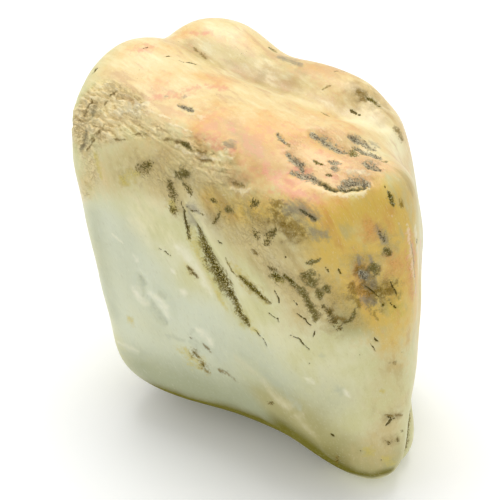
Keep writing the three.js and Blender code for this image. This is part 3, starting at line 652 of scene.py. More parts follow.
class StoneShape(bpy.types.PropertyGroup):
    """Sizes of the stone's mesh and of the relief that weather left on it."""

    grid: length_property("Grid", "Spacing of the mesh away from the marks", 0.58)
    rough_grid: length_property("Rind grid", "Spacing of the mesh on the rind", 0.25)
    finest_grid: length_property("Finest grid", "Spacing of the mesh at the thinnest marks", 0.165)
    pit_depth: length_property("Pit depth", "How deep the grey pits lie", 0.45)
    vein_depth: length_property("Vein depth", "How deep the grains of the dark veins lie", 0.13)
    crack_depth: length_property("Crack depth", "How deep the cracks are", 0.14)
    stain_depth: length_property("Stain depth", "How deep the stained places have worn", 0.05)
    ash_depth: length_property("Ash depth", "How deep the pale pits lie", 0.2)
    furrow_depth: length_property("Furrow depth", "How deep the soft furrows are", 0.4)
    welt_height: length_property("Welt height", "How far the soft welts stand up", 0.28)
    chip_height: length_property("Chip height", "How far pale lips and flakes stand up", 0.14)
    ledge_height: length_property("Ledge height", "Step of the ledges on the rind", 0.3)
    ledge_spacing: length_property("Ledge spacing", "Distance between the rind's ledges", 1.1)
    rind_height: length_property("Rind height", "Height of the rind's lumps and grains", 0.25)
    wear_height: length_property("Wear height", "Height of the slow unevenness of the polish", 0.09)
    wobble: length_property("Wobble", "How far the marks' edges wander", 0.16)
    drift: length_property("Drift", "How far the soft tints' edges wander", 1.6)
    seed: IntProperty(name="Seed", description="Seed of the stone's random patterns", default=7)


class StoneFinish(bpy.types.PropertyGroup):
    """Colours and gloss of the stone."""

    jade: colour_property("Jade", "The broad pale body of the stone", (211, 207, 150))
    jade_light: colour_property("Jade, light", "Clouds in the body", (223, 220, 176))
    # Painted shade: the dark olive of the foot's band and of the underside.
    leaf: colour_property("Leaf", "Deeper green near the foot", (112, 106, 40))
    # A grey green of the body, and painted shade where the face turns down to the foot.
    sage: colour_property("Sage", "Grey green towards the foot", (166, 170, 132))
    # Olive colour of the yellow corner, and painted shade of the right foot.
    khaki: colour_property("Khaki", "Olive shade of the right foot", (172, 164, 102))
    gold: colour_property("Gold", "Yellow spots and stains", (204, 186, 64))
    sprinkle: colour_property("Sprinkle", "Scattered dark grains", (84, 74, 22))
    peach: colour_property("Peach", "Pale orange round the pits", (244, 204, 146))
    mint: colour_property("Mint", "Cool pale green of the broad face", (212, 216, 188))
    cream: colour_property("Cream", "Warm crown", (231, 206, 146))
    straw: colour_property("Straw", "Beige of the brow", (207, 188, 126))
    honey: colour_property("Honey", "Yellow stain of the right corner", (219, 184, 72))
    bark: colour_property("Bark", "Weathered rind", (242, 220, 166))
    amber: colour_property("Amber", "Orange flush of the crown", (228, 179, 102))
    ivory: colour_property("Ivory", "Pale rubbed edges of the crown", (247, 237, 192))
    # Painted shade: the olive shade behind the crest, in the valley and on the rind.
    dusk: colour_property("Dusk", "Olive shade of the valley", (190, 158, 100))
    # Pale streaks of the crown, and painted highlight on its crest, rims and shoulder.
    tea: colour_property("Tea", "Beige streak of the lower ridge", (214, 206, 164))
    band: colour_property("Band", "Darker layers that show on the worn sides", (206, 166, 118))
    ochre: colour_property("Ochre", "Strong orange stains", (216, 154, 56))
    rose: colour_property("Rose", "Pink flushes", (226, 150, 118))
    stain: colour_property("Stain", "Brown stains", (122, 96, 28))
    haze: colour_property("Haze", "Grey clouds under the surface", (142, 132, 104))
    bloom: colour_property("Bloom", "Thin olive stain round the dark marks", (172, 148, 80))
    ash: colour_property("Ash", "Pale grey of the shallow pits", (186, 176, 148))
    pit: colour_property("Pit", "Grey green of the pits", (132, 124, 86))
    halo: colour_property("Halo", "Olive ground round veins and pits", (152, 130, 48))
    grit: colour_property("Grit", "Dark grains in the marks", (34, 30, 2))
    # Painted highlight on the edges of flakes and scallops; also pale flecks all over.
    gleam: colour_property("Gleam", "Pale soft edges of flakes", (242, 238, 212))
    # Painted shade beside those highlights, and some grey-green lines.
    shade: colour_property("Shade", "Soft grey green beside them", (186, 190, 160))
    moss: colour_property("Moss", "Dark olive patches", (112, 104, 56))
    vein: colour_property("Vein", "Olive grey of the veins", (118, 106, 42))
    crack: colour_property("Crack", "Dark line of a crack", (84, 72, 26))
    # Fresh pale flakes and rubbed wear, and painted glints and highlights on lips and ledges.
    chip: colour_property("Chip", "Fresh pale lips and flakes", (250, 238, 200))
    # Grime and painted shade in the rind's hollows and thin lines.
    dirt_and_shade: colour_property("Dirt", "What lies in the hollows of the rind", (184, 156, 96))
    gloss: share_property("Roughness", "Roughness of the waxy polish", 0.38)
    rind_gloss: share_property("Rind roughness", "Roughness of rind and pits", 0.62)
    depth_share: share_property("Translucence", "Share of the light that goes in", 0.35)
    depth: length_property("Translucence depth", "How far light goes in", 2.2)
    bend: FloatProperty(name="IOR", description="Refraction of nephrite", default=1.61)
    grain_height: length_property("Grain height", "Height of the finest grain", 0.02)
    scale_height: length_property("Scale height", "Height of the rind's fine scales", 0.3)
    crevice_depth: length_property("Crevice depth", "How deep the rind's thin lines look", 0.12)


class StudioSettings(bpy.types.PropertyGroup):
    """The camera, the floor and the lights."""

    azimuth: FloatProperty(
        name="Azimuth", description="Turn of the camera round the stone; 0 looks along +Y",
        default=math.radians(35), subtype="ANGLE",
    )
    elevation: FloatProperty(
        name="Elevation", description="Height of the camera above the horizon",
        default=math.radians(36), subtype="ANGLE",
    )
    distance: length_property("Distance", "From the camera to the place it looks at", 400)
    aim: FloatVectorProperty(
        name="Aim", description="The place that the camera looks at", size=3,
        default=(-2.2 * MM, -2.1 * MM, 26.8 * MM), precision=5, subtype="TRANSLATION",
    )
    lens: FloatProperty(name="Lens", description="Focal length in millimetres", default=200)
    sensor: FloatProperty(name="Sensor", description="Sensor width in millimetres", default=36)
    nearest: length_property("Nearest", "Closest that the camera sees", 10)
    farthest: length_property("Farthest", "Furthest that the camera sees", 5000)
    floor: colour_property("Floor", "Plain pale floor", (252, 252, 252))
    floor_glow: FloatProperty(
        name="Floor glow", description="How much light the white floor gives off", default=0.085,
    )
    floor_width: length_property("Floor width", "Side of the square floor", 3000)
    air: FloatProperty(name="Air", description="Strength of the even light", default=0.68)
    key: FloatProperty(name="Key", description="Power of the top light in watts", default=0.72)
    fill: FloatProperty(name="Fill", description="Power of the left light in watts", default=0.22)
    light_size: length_property("Light size", "Width of the lights", 260)
    key_distance: length_property("Key distance", "From the stone to the top light", 350)
    fill_distance: length_property("Fill distance", "From the stone to the left light", 600)


# ---------------------------------------------------------------------------------------------
# Places on the stone.

def camera_axes(studio):
    """The camera's right, up and back directions and its place."""
    turn, lift = studio.azimuth, studio.elevation
    back = Vector((
        math.sin(turn) * math.cos(lift), -math.cos(turn) * math.cos(lift), math.sin(lift),
    ))
    right = Vector((math.cos(turn), math.sin(turn), 0))
    return right, back.cross(right), back, Vector(studio.aim) + back * studio.distance


def toward(azimuth, elevation):
    a, e = math.radians(azimuth), math.radians(elevation)
    return Vector((math.cos(e) * math.cos(a), math.cos(e) * math.sin(a), math.sin(e)))


def filled_in(path, step):
    """The path with places put between its own, so that none are further apart than step."""
    path = np.array(path, float)
    dense = [path[:1]]
    for start, end in zip(path, path[1:]):
        count = max(1, math.ceil(np.linalg.norm(end - start) / step))
        dense.append(start + (end - start) * (np.arange(1, count + 1) / count)[:, None])
    return np.concatenate(dense)


def seen_line(surface, studio, path):
    """Where the camera sees the path's view places on the surface."""
    right, up, back, eye = camera_axes(studio)
    focal = studio.lens / studio.sensor * VIEW_SIDE
    line = []
    for x, y in filled_in(path, VIEW_STEP):
        across, down = (x - VIEW_SIDE / 2) / focal, (y - VIEW_SIDE / 2) / focal
        hit = surface.ray_cast(eye, (right * across - up * down - back).normalized())[0]
        if hit is not None:
            line.append(hit)
    return np.array(line)


def hidden_line(surface, path):
    """Where the directions of the path leave the stone."""
    directions = filled_in([toward(*turn) for turn in path], math.radians(TURN_STEP))
    hits = [surface.ray_cast(heart, Vector(way).normalized())[0] for way in directions]
    return np.array([hit for hit in hits if hit is not None])


def group_paths(count, direction, spread, length, chance):
    """Short paths down the fibres, scattered round a direction, with a size for each."""
    slant = GROUP_SLANT * math.sin(math.radians(direction[0]))
    for _ in range(count):
        start = np.array(direction) + chance.normal(0, spread / 2, 2)
        size = chance.uniform(*GROUP_SIZES)
        way = np.array([-slant, -GROUP_FALL]) * length * size
        bend = chance.normal(0, GROUP_BEND * length, 2)
        yield size, [start, start + way / 2 + bend, start + way]


def placed_lines(surface, shape, studio):
    """Every tint and mark with its line on the surface, in metres."""
    tints, marks = [], []
    chance = np.random.default_rng(shape.seed)
    for _, kind, count, direction, spread, length, half_width in HIDDEN_GROUPS:
        for size, path in group_paths(count, direction, spread, length, chance):
            marks.append((kind, half_width * size * MM, hidden_line(surface, path)))
    for _, kind, strength, reach, path in SEEN_TINTS:
        tints.append((kind, strength, reach * MM, seen_line(surface, studio, path)))
    for _, kind, strength, reach, path in HIDDEN_TINTS:
        tints.append((kind, strength, reach * MM, hidden_line(surface, path)))
    for _, kind, half_width, path in SEEN_MARKS:
        marks.append((kind, half_width * MM, seen_line(surface, studio, path)))
    for _, kind, half_width, path in HIDDEN_MARKS:
        marks.append((kind, half_width * MM, hidden_line(surface, path)))
    return tints, marks


def distance_to_line(places, line):
    """Distance from each place to the line, and how far along it, from 0 to 1, that is."""
    distance = np.full(len(places), np.inf)
    along = np.zeros(len(places))
    stretches = max(1, len(line) - 1)
    for k in range(len(line) - 1):
        way = line[k + 1] - line[k]
        share = np.clip((places - line[k]) @ way / max(way @ way, 1e-18), 0, 1)
        here = np.linalg.norm(places - line[k] - share[:, None] * way, axis=1)
        closer = here < distance
        distance[closer] = here[closer]
        along[closer] = (k + share[closer]) / stretches
    return distance, along


def near(places, line, reach):
    """Which places lie within reach of the line's box."""
    low, high = line.min(0) - reach, line.max(0) + reach
    return np.flatnonzero(((places > low) & (places < high)).all(1))


def wandered(places, size, amount, seed):
    """The places moved about by slow noise of that size, the same in each run."""
    noise.seed_set(seed)
    moves = [noise.noise_vector(Vector(place) / size) for place in places]
    return places + np.array(moves) * amount


# ---------------------------------------------------------------------------------------------
# The stone's mesh.

def merged_copy(node):
    """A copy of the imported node's mesh with its loose triangles joined."""
    shape = bmesh.new()
    shape.from_mesh(node.data)
    bmesh.ops.remove_doubles(shape, verts=shape.verts, dist=0.001 * MM)
    mesh = bpy.data.meshes.new("merged stone")
    shape.to_mesh(mesh)
    shape.free()
    return mesh


def linked_object(name, data):
    """A new object in the scene."""
    obj = bpy.data.objects.new(name, data)
    bpy.context.scene.collection.objects.link(obj)
    return obj


def plain_result(obj):
    """The object's mesh with its modifiers carried out; the object itself goes."""
    evaluated = obj.evaluated_get(bpy.context.evaluated_depsgraph_get())
    mesh = bpy.data.meshes.new_from_object(evaluated)
    bpy.data.objects.remove(obj)
    return mesh


def places_of(mesh):
    """Where the mesh's vertices are, a row for each."""
    places = np.zeros(len(mesh.vertices) * 3)
    mesh.vertices.foreach_get("co", places)
    return places.reshape(-1, 3)


def even_stone(shape):
    """Places and triangles of the stone on an even, smooth grid."""
    obj = linked_object("even stone", merged_copy(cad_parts[NODE]))
    rounded = obj.modifiers.new("rounded", "SUBSURF")
    rounded.levels = rounded.render_levels = 1
    even = obj.modifiers.new("even", "REMESH")
    even.mode = "VOXEL"
    even.voxel_size = shape.grid
    smooth = obj.modifiers.new("smooth", "SMOOTH")
    smooth.factor = 0.5
    smooth.iterations = 6
    mesh = plain_result(obj)
    mesh.calc_loop_triangles()
    faces = np.zeros(len(mesh.loop_triangles) * 3, int)
    mesh.loop_triangles.foreach_get("vertices", faces)
    return places_of(mesh), faces.reshape(-1, 3)


def outward(places, faces):
    """Each place's normal, from the faces round it."""
    corners = places[faces]
    face_normals = np.cross(corners[:, 1] - corners[:, 0], corners[:, 2] - corners[:, 0])
    normals = np.zeros_like(places)
    for corner in range(3):
        np.add.at(normals, faces[:, corner], face_normals)
    return normals / np.linalg.norm(normals, axis=1, keepdims=True)


def edges_of(faces):
    """The mesh's edges, and each face's three edges in the order of its corners."""
    pairs = np.sort(faces[:, [0, 1, 1, 2, 2, 0]].reshape(-1, 2), axis=1)
    base = faces.max() + 1
    keys, which = np.unique(pairs[:, 0] * base + pairs[:, 1], return_inverse=True)
    return np.stack([keys // base, keys % base], axis=1), which.reshape(-1, 3)


def curved_middles(places, normals, edges):
    """Middles of the edges, lifted off the chord onto the curve of the surface."""
    start, end = places[edges[:, 0]], places[edges[:, 1]]
    middles = (start + end) / 2
    lifts = np.zeros_like(middles)
    for corner, normal in ((start, normals[edges[:, 0]]), (end, normals[edges[:, 1]])):
        below = ((middles - corner) * normal).sum(1, keepdims=True)
        lifts -= below * normal / 2
    return middles + lifts * CURVE_SHARE


def split_faces(faces, middles):
    """Faces cut at the middles of their split edges; a middle of -1 leaves an edge whole."""
    split = middles >= 0
    count = split.sum(1)
    # Each face is turned so that its cut edges come first.
    lead = np.where(count == 2, (np.argmin(split, axis=1) + 1) % 3, np.argmax(split, axis=1))
    order = (lead[:, None] + np.arange(3)) % 3
    a, b, c = np.take_along_axis(faces, order, 1).T
    ab, bc, ca = np.take_along_axis(middles, order, 1).T
    pieces = [
        (count == 0, [(a, b, c)]),
        (count == 1, [(a, ab, c), (ab, b, c)]),
        (count == 2, [(ab, b, bc), (a, ab, bc), (a, bc, c)]),
        (count == 3, [(a, ab, ca), (ab, b, bc), (ca, bc, c), (ab, bc, ca)]),
    ]
    cut = [
        np.stack(corners, axis=1)[chosen]
        for chosen, triangles in pieces
        for corners in triangles
    ]
    return np.concatenate(cut)


def wanted_spacing(places, shape, tints, marks):
    """How far apart the mesh's places may be, finer at the marks and on the rind."""
    wanted = np.full(len(places), shape.grid)
    for kind, half_width, line in marks:
        chosen = near(places, line, half_width + MARK_MARGIN * shape.grid)
        distance, _ = distance_to_line(places[chosen], line)
        inside = half_width * MARK_SPACING
        if kind in SHARP_MARKS:
            inside = min(inside, shape.finest_grid * SHARP_SPACING)
        here = inside + SPACING_GROWTH * np.maximum(distance - half_width, 0)
        wanted[chosen] = np.minimum(wanted[chosen], here)
    rough = np.maximum.reduce([tint_field(places, tints, kind) for kind in ROUGH_TINTS])
    wanted = np.where(rough > ROUGH_ENOUGH, np.minimum(wanted, shape.rough_grid), wanted)
    return np.maximum(wanted, shape.finest_grid)


def refined(places, faces, shape, tints, marks):
    """The mesh with its edges split until they are as short as the marks on it want."""
    for _ in range(SPLIT_PASSES):
        edges, face_edges = edges_of(faces)
        ends = places[edges]
        length = np.linalg.norm(ends[:, 1] - ends[:, 0], axis=1)
        long = length > SPLIT_OVER * wanted_spacing(ends.mean(1), shape, tints, marks)
        if not long.any():
            break
        middles = curved_middles(places, outward(places, faces), edges[long])
        numbers = np.full(len(edges), -1)
        numbers[long] = len(places) + np.arange(long.sum())
        places = np.concatenate([places, middles])
        faces = split_faces(faces, numbers[face_edges])
    return places, faces


def tint_field(places, tints, kind):
    """How strong a soft tint is at each place, from 0 to 1."""
    bare = np.ones(len(places))
    for tint_kind, strength, reach, line in tints:
        if tint_kind == kind:
            chosen = near(places, line, 2 * reach)
            distance, _ = distance_to_line(places[chosen], line)
            bare[chosen] *= 1 - strength * np.exp(-((distance / reach) ** 2) * TINT_FALL)
    return 1 - bare


def mark_field(places, marks, kind):
    """How near each place is to a mark: 1 on its line, 0 at its edge and -1 away from it."""
    field = np.full(len(places), -1.0)
    for mark_kind, half_width, line in marks:
        if mark_kind == kind:
            chosen = near(places, line, 2 * half_width)
            distance, along = distance_to_line(places[chosen], line)
            swelling = np.sin(np.pi * along) ** TIP_BLUNTNESS
            taper = TIP_WIDTH + (1 - TIP_WIDTH) * swelling
            closeness = np.clip(1 - distance / (half_width * taper), -1, 1)
            field[chosen] = np.maximum(field[chosen], closeness)
    return field


def marked_stone(shape, studio):
    """The smooth stone as a mesh that carries every tint and mark as an attribute."""
    places, faces = even_stone(shape)
    surface = BVHTree.FromPolygons(places.tolist(), faces.tolist())
    tints, marks = placed_lines(surface, shape, studio)
    places, faces = refined(places, faces, shape, tints, marks)
    mesh = bpy.data.meshes.new("marked stone")
    mesh.from_pydata(places.tolist(), [], faces.tolist())
    drifted = wandered(places, DRIFT_SIZE, shape.drift, shape.seed)
    wobbly = wandered(places, WOBBLE_SIZE, shape.wobble, shape.seed + 1)
    fields = {
        kind: tint_field(wobbly if kind in STEADY_TINTS else drifted, tints, kind)
        for kind in (*TINTS, "scar")
    }
    fields.update({kind: mark_field(wobbly, marks, kind) for kind in (*MARKS, *LOW_RELIEFS)})
    for kind, values in fields.items():
        attribute = mesh.attributes.new(kind, "FLOAT", "POINT")
        attribute.data.foreach_set("value", values.astype(np.float32))
    return mesh


# ---------------------------------------------------------------------------------------------
# Node trees.

# The stone is layered: its layers lie almost along the broad face, and its fibres run down it.
ACROSS_LAYERS = toward(79, 8)
ALONG_FIBRES = toward(0, -54)
ACROSS_FIBRES = ALONG_FIBRES.cross(ACROSS_LAYERS).normalized()
# The body's patterns are stretched along the fibres, and the rind's along the layers.
STRETCHES = {
    "fibres": (ALONG_FIBRES * 0.22, ACROSS_FIBRES * 0.8, ACROSS_LAYERS * 1.1),
    "layers": (ALONG_FIBRES * 0.4, ACROSS_FIBRES * 0.4, ACROSS_LAYERS * 1.5),
}
# Noises: how each is stretched, its size in millimetres and its detail.
PATTERNS = {
    "clouds": ("even", 6.0, 4.0),
    "swells": ("even", 5.5, 2.0),
    "bends": ("even", 3.5, 5.0),
    "lumps": ("even", 0.9, 4.0),
    "grains": ("even", 0.34, 3.0),
    "dust": ("even", 0.22, 1.5),
    "folds": ("layers", 1.7, 4.0),
    "strands": ("layers", 0.6, 4.0),
    "scales": ("layers", 0.32, 3.0),
    "flames": ("fibres", 1.7, 5.0),
    "wisps": ("fibres", 1.0, 5.0),
    "flecks": ("fibres", 0.16, 2.0),
}
SHARED_PATTERNS = ("lumps", "grains", "dust", "folds", "strands", "scales")
CREVICE_WIDTH = 0.025  # in the noise's own values
PIT_CREVICE_WIDTH = 0.035
LEDGE_BEND = 4.5  # how many ledges noise shifts them by, at most


class Graph:
    """A node tree with short ways to add nodes and join them."""

    def __init__(self, tree, reader):
        self.tree = tree
        self.reader = reader
        self.tree.nodes.clear()

    def add(self, kind, sockets=None, **settings):
        node = self.tree.nodes.new(kind)
        for name, value in settings.items():
            setattr(node, name, value)
        for key, value in (sockets or {}).items():
            self.join(value, node.inputs[key])
        return node

    def join(self, value, socket):
        if isinstance(value, bpy.types.NodeSocket):
            self.tree.links.new(value, socket)
        else:
            socket.default_value = value

    def read(self, name):
        """An attribute of the mesh."""
        return self.reader(self, name)

    def math(self, operation, *values):
        node = self.add("ShaderNodeMath", dict(enumerate(values)), operation=operation)
        return node.outputs[0]

    def product(self, *values):
        result = values[0]
        for value in values[1:]:
            result = self.math("MULTIPLY", result, value)
        return result

    def most(self, *values):
        """The highest of the values."""
        result = values[0]
        for value in values[1:]:
            result = self.math("MAXIMUM", result, value)
        return result

    def vector(self, operation, first, **sockets):
        node = self.add("ShaderNodeVectorMath", {0: first}, operation=operation)
        for name, value in sockets.items():
            self.join(value, node.inputs[name])
        return node

    def in_millimetres(self, place):
        return self.vector("SCALE", place, Scale=1 / MM).outputs[0]

    def noise(self, place, size, seed, detail):
        """Noise from 0 to 1 whose features are about that many millimetres across."""
        return self.add("ShaderNodeTexNoise", {
            "Vector": place, "Scale": 1 / size, "W": seed, "Detail": detail,
        }, noise_dimensions="4D").outputs[0]

    def ramp(self, value, low, high, start=0.0, end=1.0):
        """Value eased from start, at low, to end, at high."""
        return self.add("ShaderNodeMapRange", {
            "Value": value, "From Min": low, "From Max": high, "To Min": start, "To Max": end,
        }, interpolation_type="SMOOTHSTEP").outputs[0]

    def centred(self, value):
        """Noise from 0 to 1 moved to lie evenly round 0."""
        return self.math("SUBTRACT", value, 0.5)

    def broken(self, field, *breakers):
        """A field with its edge broken up: each breaker is noise and how much of it there is."""
        for grain, amount in breakers:
            field = self.math("MULTIPLY_ADD", self.centred(grain), amount, field)
        return field

    def faded(self, field, edge, patterns, lumps):
        """How far a field with that edge covers the stone, from 0 to 1."""
        broken = self.broken(
            self.product(field, edge.weight),
            (lumps, edge.lumps), (patterns.grains, edge.grains), (patterns.dust, edge.dust),
        )
        share = self.ramp(broken, edge.start, edge.full, 0.0, edge.most)
        return self.product(share, self.ramp(field, *FIELD_ENDS))

    def cover(self, kind, patterns):
        """How far the marks of a kind cover the stone, from 0 to 1."""
        lumps = patterns.strands if kind in LAYERED_MARKS else patterns.lumps
        return self.faded(self.read(kind), MARK_EDGES[kind], patterns, lumps)

    def along(self, axes, place):
        """The place in coordinates of those axes, each as long as its pattern is to be squeezed."""
        return self.add("ShaderNodeCombineXYZ", {
            axis: self.vector("DOT_PRODUCT", place, Vector_001=tuple(way)).outputs["Value"]
            for axis, way in zip("XYZ", axes)
        }).outputs[0]

    def patterns(self, place, seed, *names):
        """The shared patterns of the stone and those named, over a place in millimetres."""
        spaces = {"even": place}
        made = {}
        for name in (*SHARED_PATTERNS, *names):
            stretch, size, detail = PATTERNS[name]
            if stretch not in spaces:
                spaces[stretch] = self.along(STRETCHES[stretch], place)
            made[name] = self.noise(spaces[stretch], size, seed, detail)
        return SimpleNamespace(**made)

    def rough_places(self):
        """How far rind covers the stone, how far scars do, and how rough both make it."""
        bark = self.ramp(self.read("bark"), 0.15, 0.75)
        scar = self.ramp(self.read("scar"), 0.1, 0.8)
        return bark, scar, self.most(bark, self.product(scar, 0.7))

    def crevices(self, value, width):
        """Thin lines, 1 in their middles, where a noise value passes 0.5."""
        return self.ramp(self.math("ABSOLUTE", self.centred(value)), width, 0.0)

    def tidy(self):
        """Sets the nodes out in rows."""
        for i, node in enumerate(self.tree.nodes):
            node.location = (i % 12 * 190, -(i // 12) * 330)


def read_in_geometry(graph, name):
    node = graph.add("GeometryNodeInputNamedAttribute", {"Name": name}, data_type="FLOAT")
    return node.outputs[0]


def read_in_shader(graph, name):
    node = graph.add("ShaderNodeAttribute", attribute_type="GEOMETRY", attribute_name=name)
    return node.outputs["Fac"]


WEATHERING_SIZES = (
    "pit_depth", "ash_depth", "furrow_depth", "welt_height", "vein_depth", "crack_depth",
    "stain_depth", "chip_height", "ledge_height", "ledge_spacing", "rind_height", "wear_height",
)


def label(name):
    """A setting's name as it stands on the tree's input."""
    return name.replace("_", " ").capitalize()


def weathering_inputs(tree):
    """The inputs and the output of the weathering tree."""
    inputs = [("Geometry", "Geometry")]
    inputs += [(label(name), "Float") for name in WEATHERING_SIZES]
    inputs += [("Seed", "Int"), ("Material", "Material")]
    for name, kind in inputs:
        tree.interface.new_socket(name, in_out="INPUT", socket_type="NodeSocket" + kind)
    tree.interface.new_socket("Geometry", in_out="OUTPUT", socket_type="NodeSocketGeometry")


def weathering_tree():
    """Geometry nodes that press the marks into the surface and raise the rind's ledges."""
    tree = bpy.data.node_groups.new("weathering", "GeometryNodeTree")
    graph = Graph(tree, read_in_geometry)
    weathering_inputs(tree)
    given = graph.add("NodeGroupInput").outputs
    position = graph.add("GeometryNodeInputPosition").outputs[0]
    place = graph.in_millimetres(position)
    patterns = graph.patterns(place, given["Seed"], "swells", "bends")
    bark, scar, rough = graph.rough_places()

    # Ledges: a slow rise and a quick fall across the layers, bent by noise.
    run = graph.vector("DOT_PRODUCT", position, Vector_001=tuple(ACROSS_LAYERS))
    phase = graph.math("DIVIDE", run.outputs["Value"], given["Ledge spacing"])
    phase = graph.math("MULTIPLY_ADD", patterns.bends, LEDGE_BEND, phase)
    step = graph.math("FRACT", phase)
    ledge = graph.math("SUBTRACT", graph.ramp(step, 0.0, 0.7), graph.ramp(step, 0.8, 1.0))

    ash, pit, vein, crack, stain, chip = (
        graph.cover(kind, patterns) for kind in ("ash", "pit", "vein", "crack", "stain", "chip")
    )
    furrow, welt = (graph.ramp(graph.read(kind), -1.0, 1.0) for kind in LOW_RELIEFS)
    pitted = graph.most(ash, pit)
    grains, strands, scales, folds, swells = (
        graph.centred(getattr(patterns, name))
        for name in ("grains", "strands", "scales", "folds", "swells")
    )
    # Each relief: how much of it there is, its size, and how many times that it stands up.
    reliefs = [
        (pit, "pit_depth", -1.0),
        (ash, "ash_depth", -1.0),
        (graph.product(pitted, grains), "pit_depth", 2.0),
        (graph.product(pitted, strands), "pit_depth", 3.6),
        (furrow, "furrow_depth", -1.0),
        (welt, "welt_height", 1.0),
        (vein, "vein_depth", -1.0),
        (crack, "crack_depth", -1.0),
        (stain, "stain_depth", -1.0),
        (chip, "chip_height", 1.0),
        (graph.product(bark, graph.centred(ledge)), "ledge_height", 1.0),
        (graph.product(bark, strands), "rind_height", 2.6),
        (graph.product(rough, scales), "rind_height", 1.6),
        (graph.product(scar, folds), "rind_height", 3.0),
        (swells, "wear_height", 1.0),
    ]
    rise = 0.0
    for amount, size, times in reliefs:
        scaled = graph.product(given[label(size)], times)
        rise = graph.math("MULTIPLY_ADD", amount, scaled, rise)

    # The finish reads how far the surface has risen, in millimetres, and where it was before.
    noted = given["Geometry"]
    for name, value, data_type in (
        ("relief", graph.product(rise, 1 / MM), "FLOAT"),
        ("unworn", position, "FLOAT_VECTOR"),
    ):
        noted = graph.add("GeometryNodeStoreNamedAttribute", {
            "Geometry": noted, "Name": name, "Value": value,
        }, data_type=data_type, domain="POINT").outputs[0]
    normal = graph.add("GeometryNodeInputNormal").outputs[0]
    moved = graph.add("GeometryNodeSetPosition", {
        "Geometry": noted, "Offset": graph.vector("SCALE", normal, Scale=rise).outputs[0],
    }).outputs[0]
    smooth = graph.add("GeometryNodeSetShadeSmooth", {"Geometry": moved}).outputs[0]
    real = graph.add("GeometryNodeRealizeInstances", {"Geometry": smooth}).outputs[0]
    finished = graph.add("GeometryNodeSetMaterial", {
        "Geometry": real, "Material": given["Material"],
    }).outputs[0]
    graph.add("NodeGroupOutput", {0: finished})
    graph.tidy()
    return tree


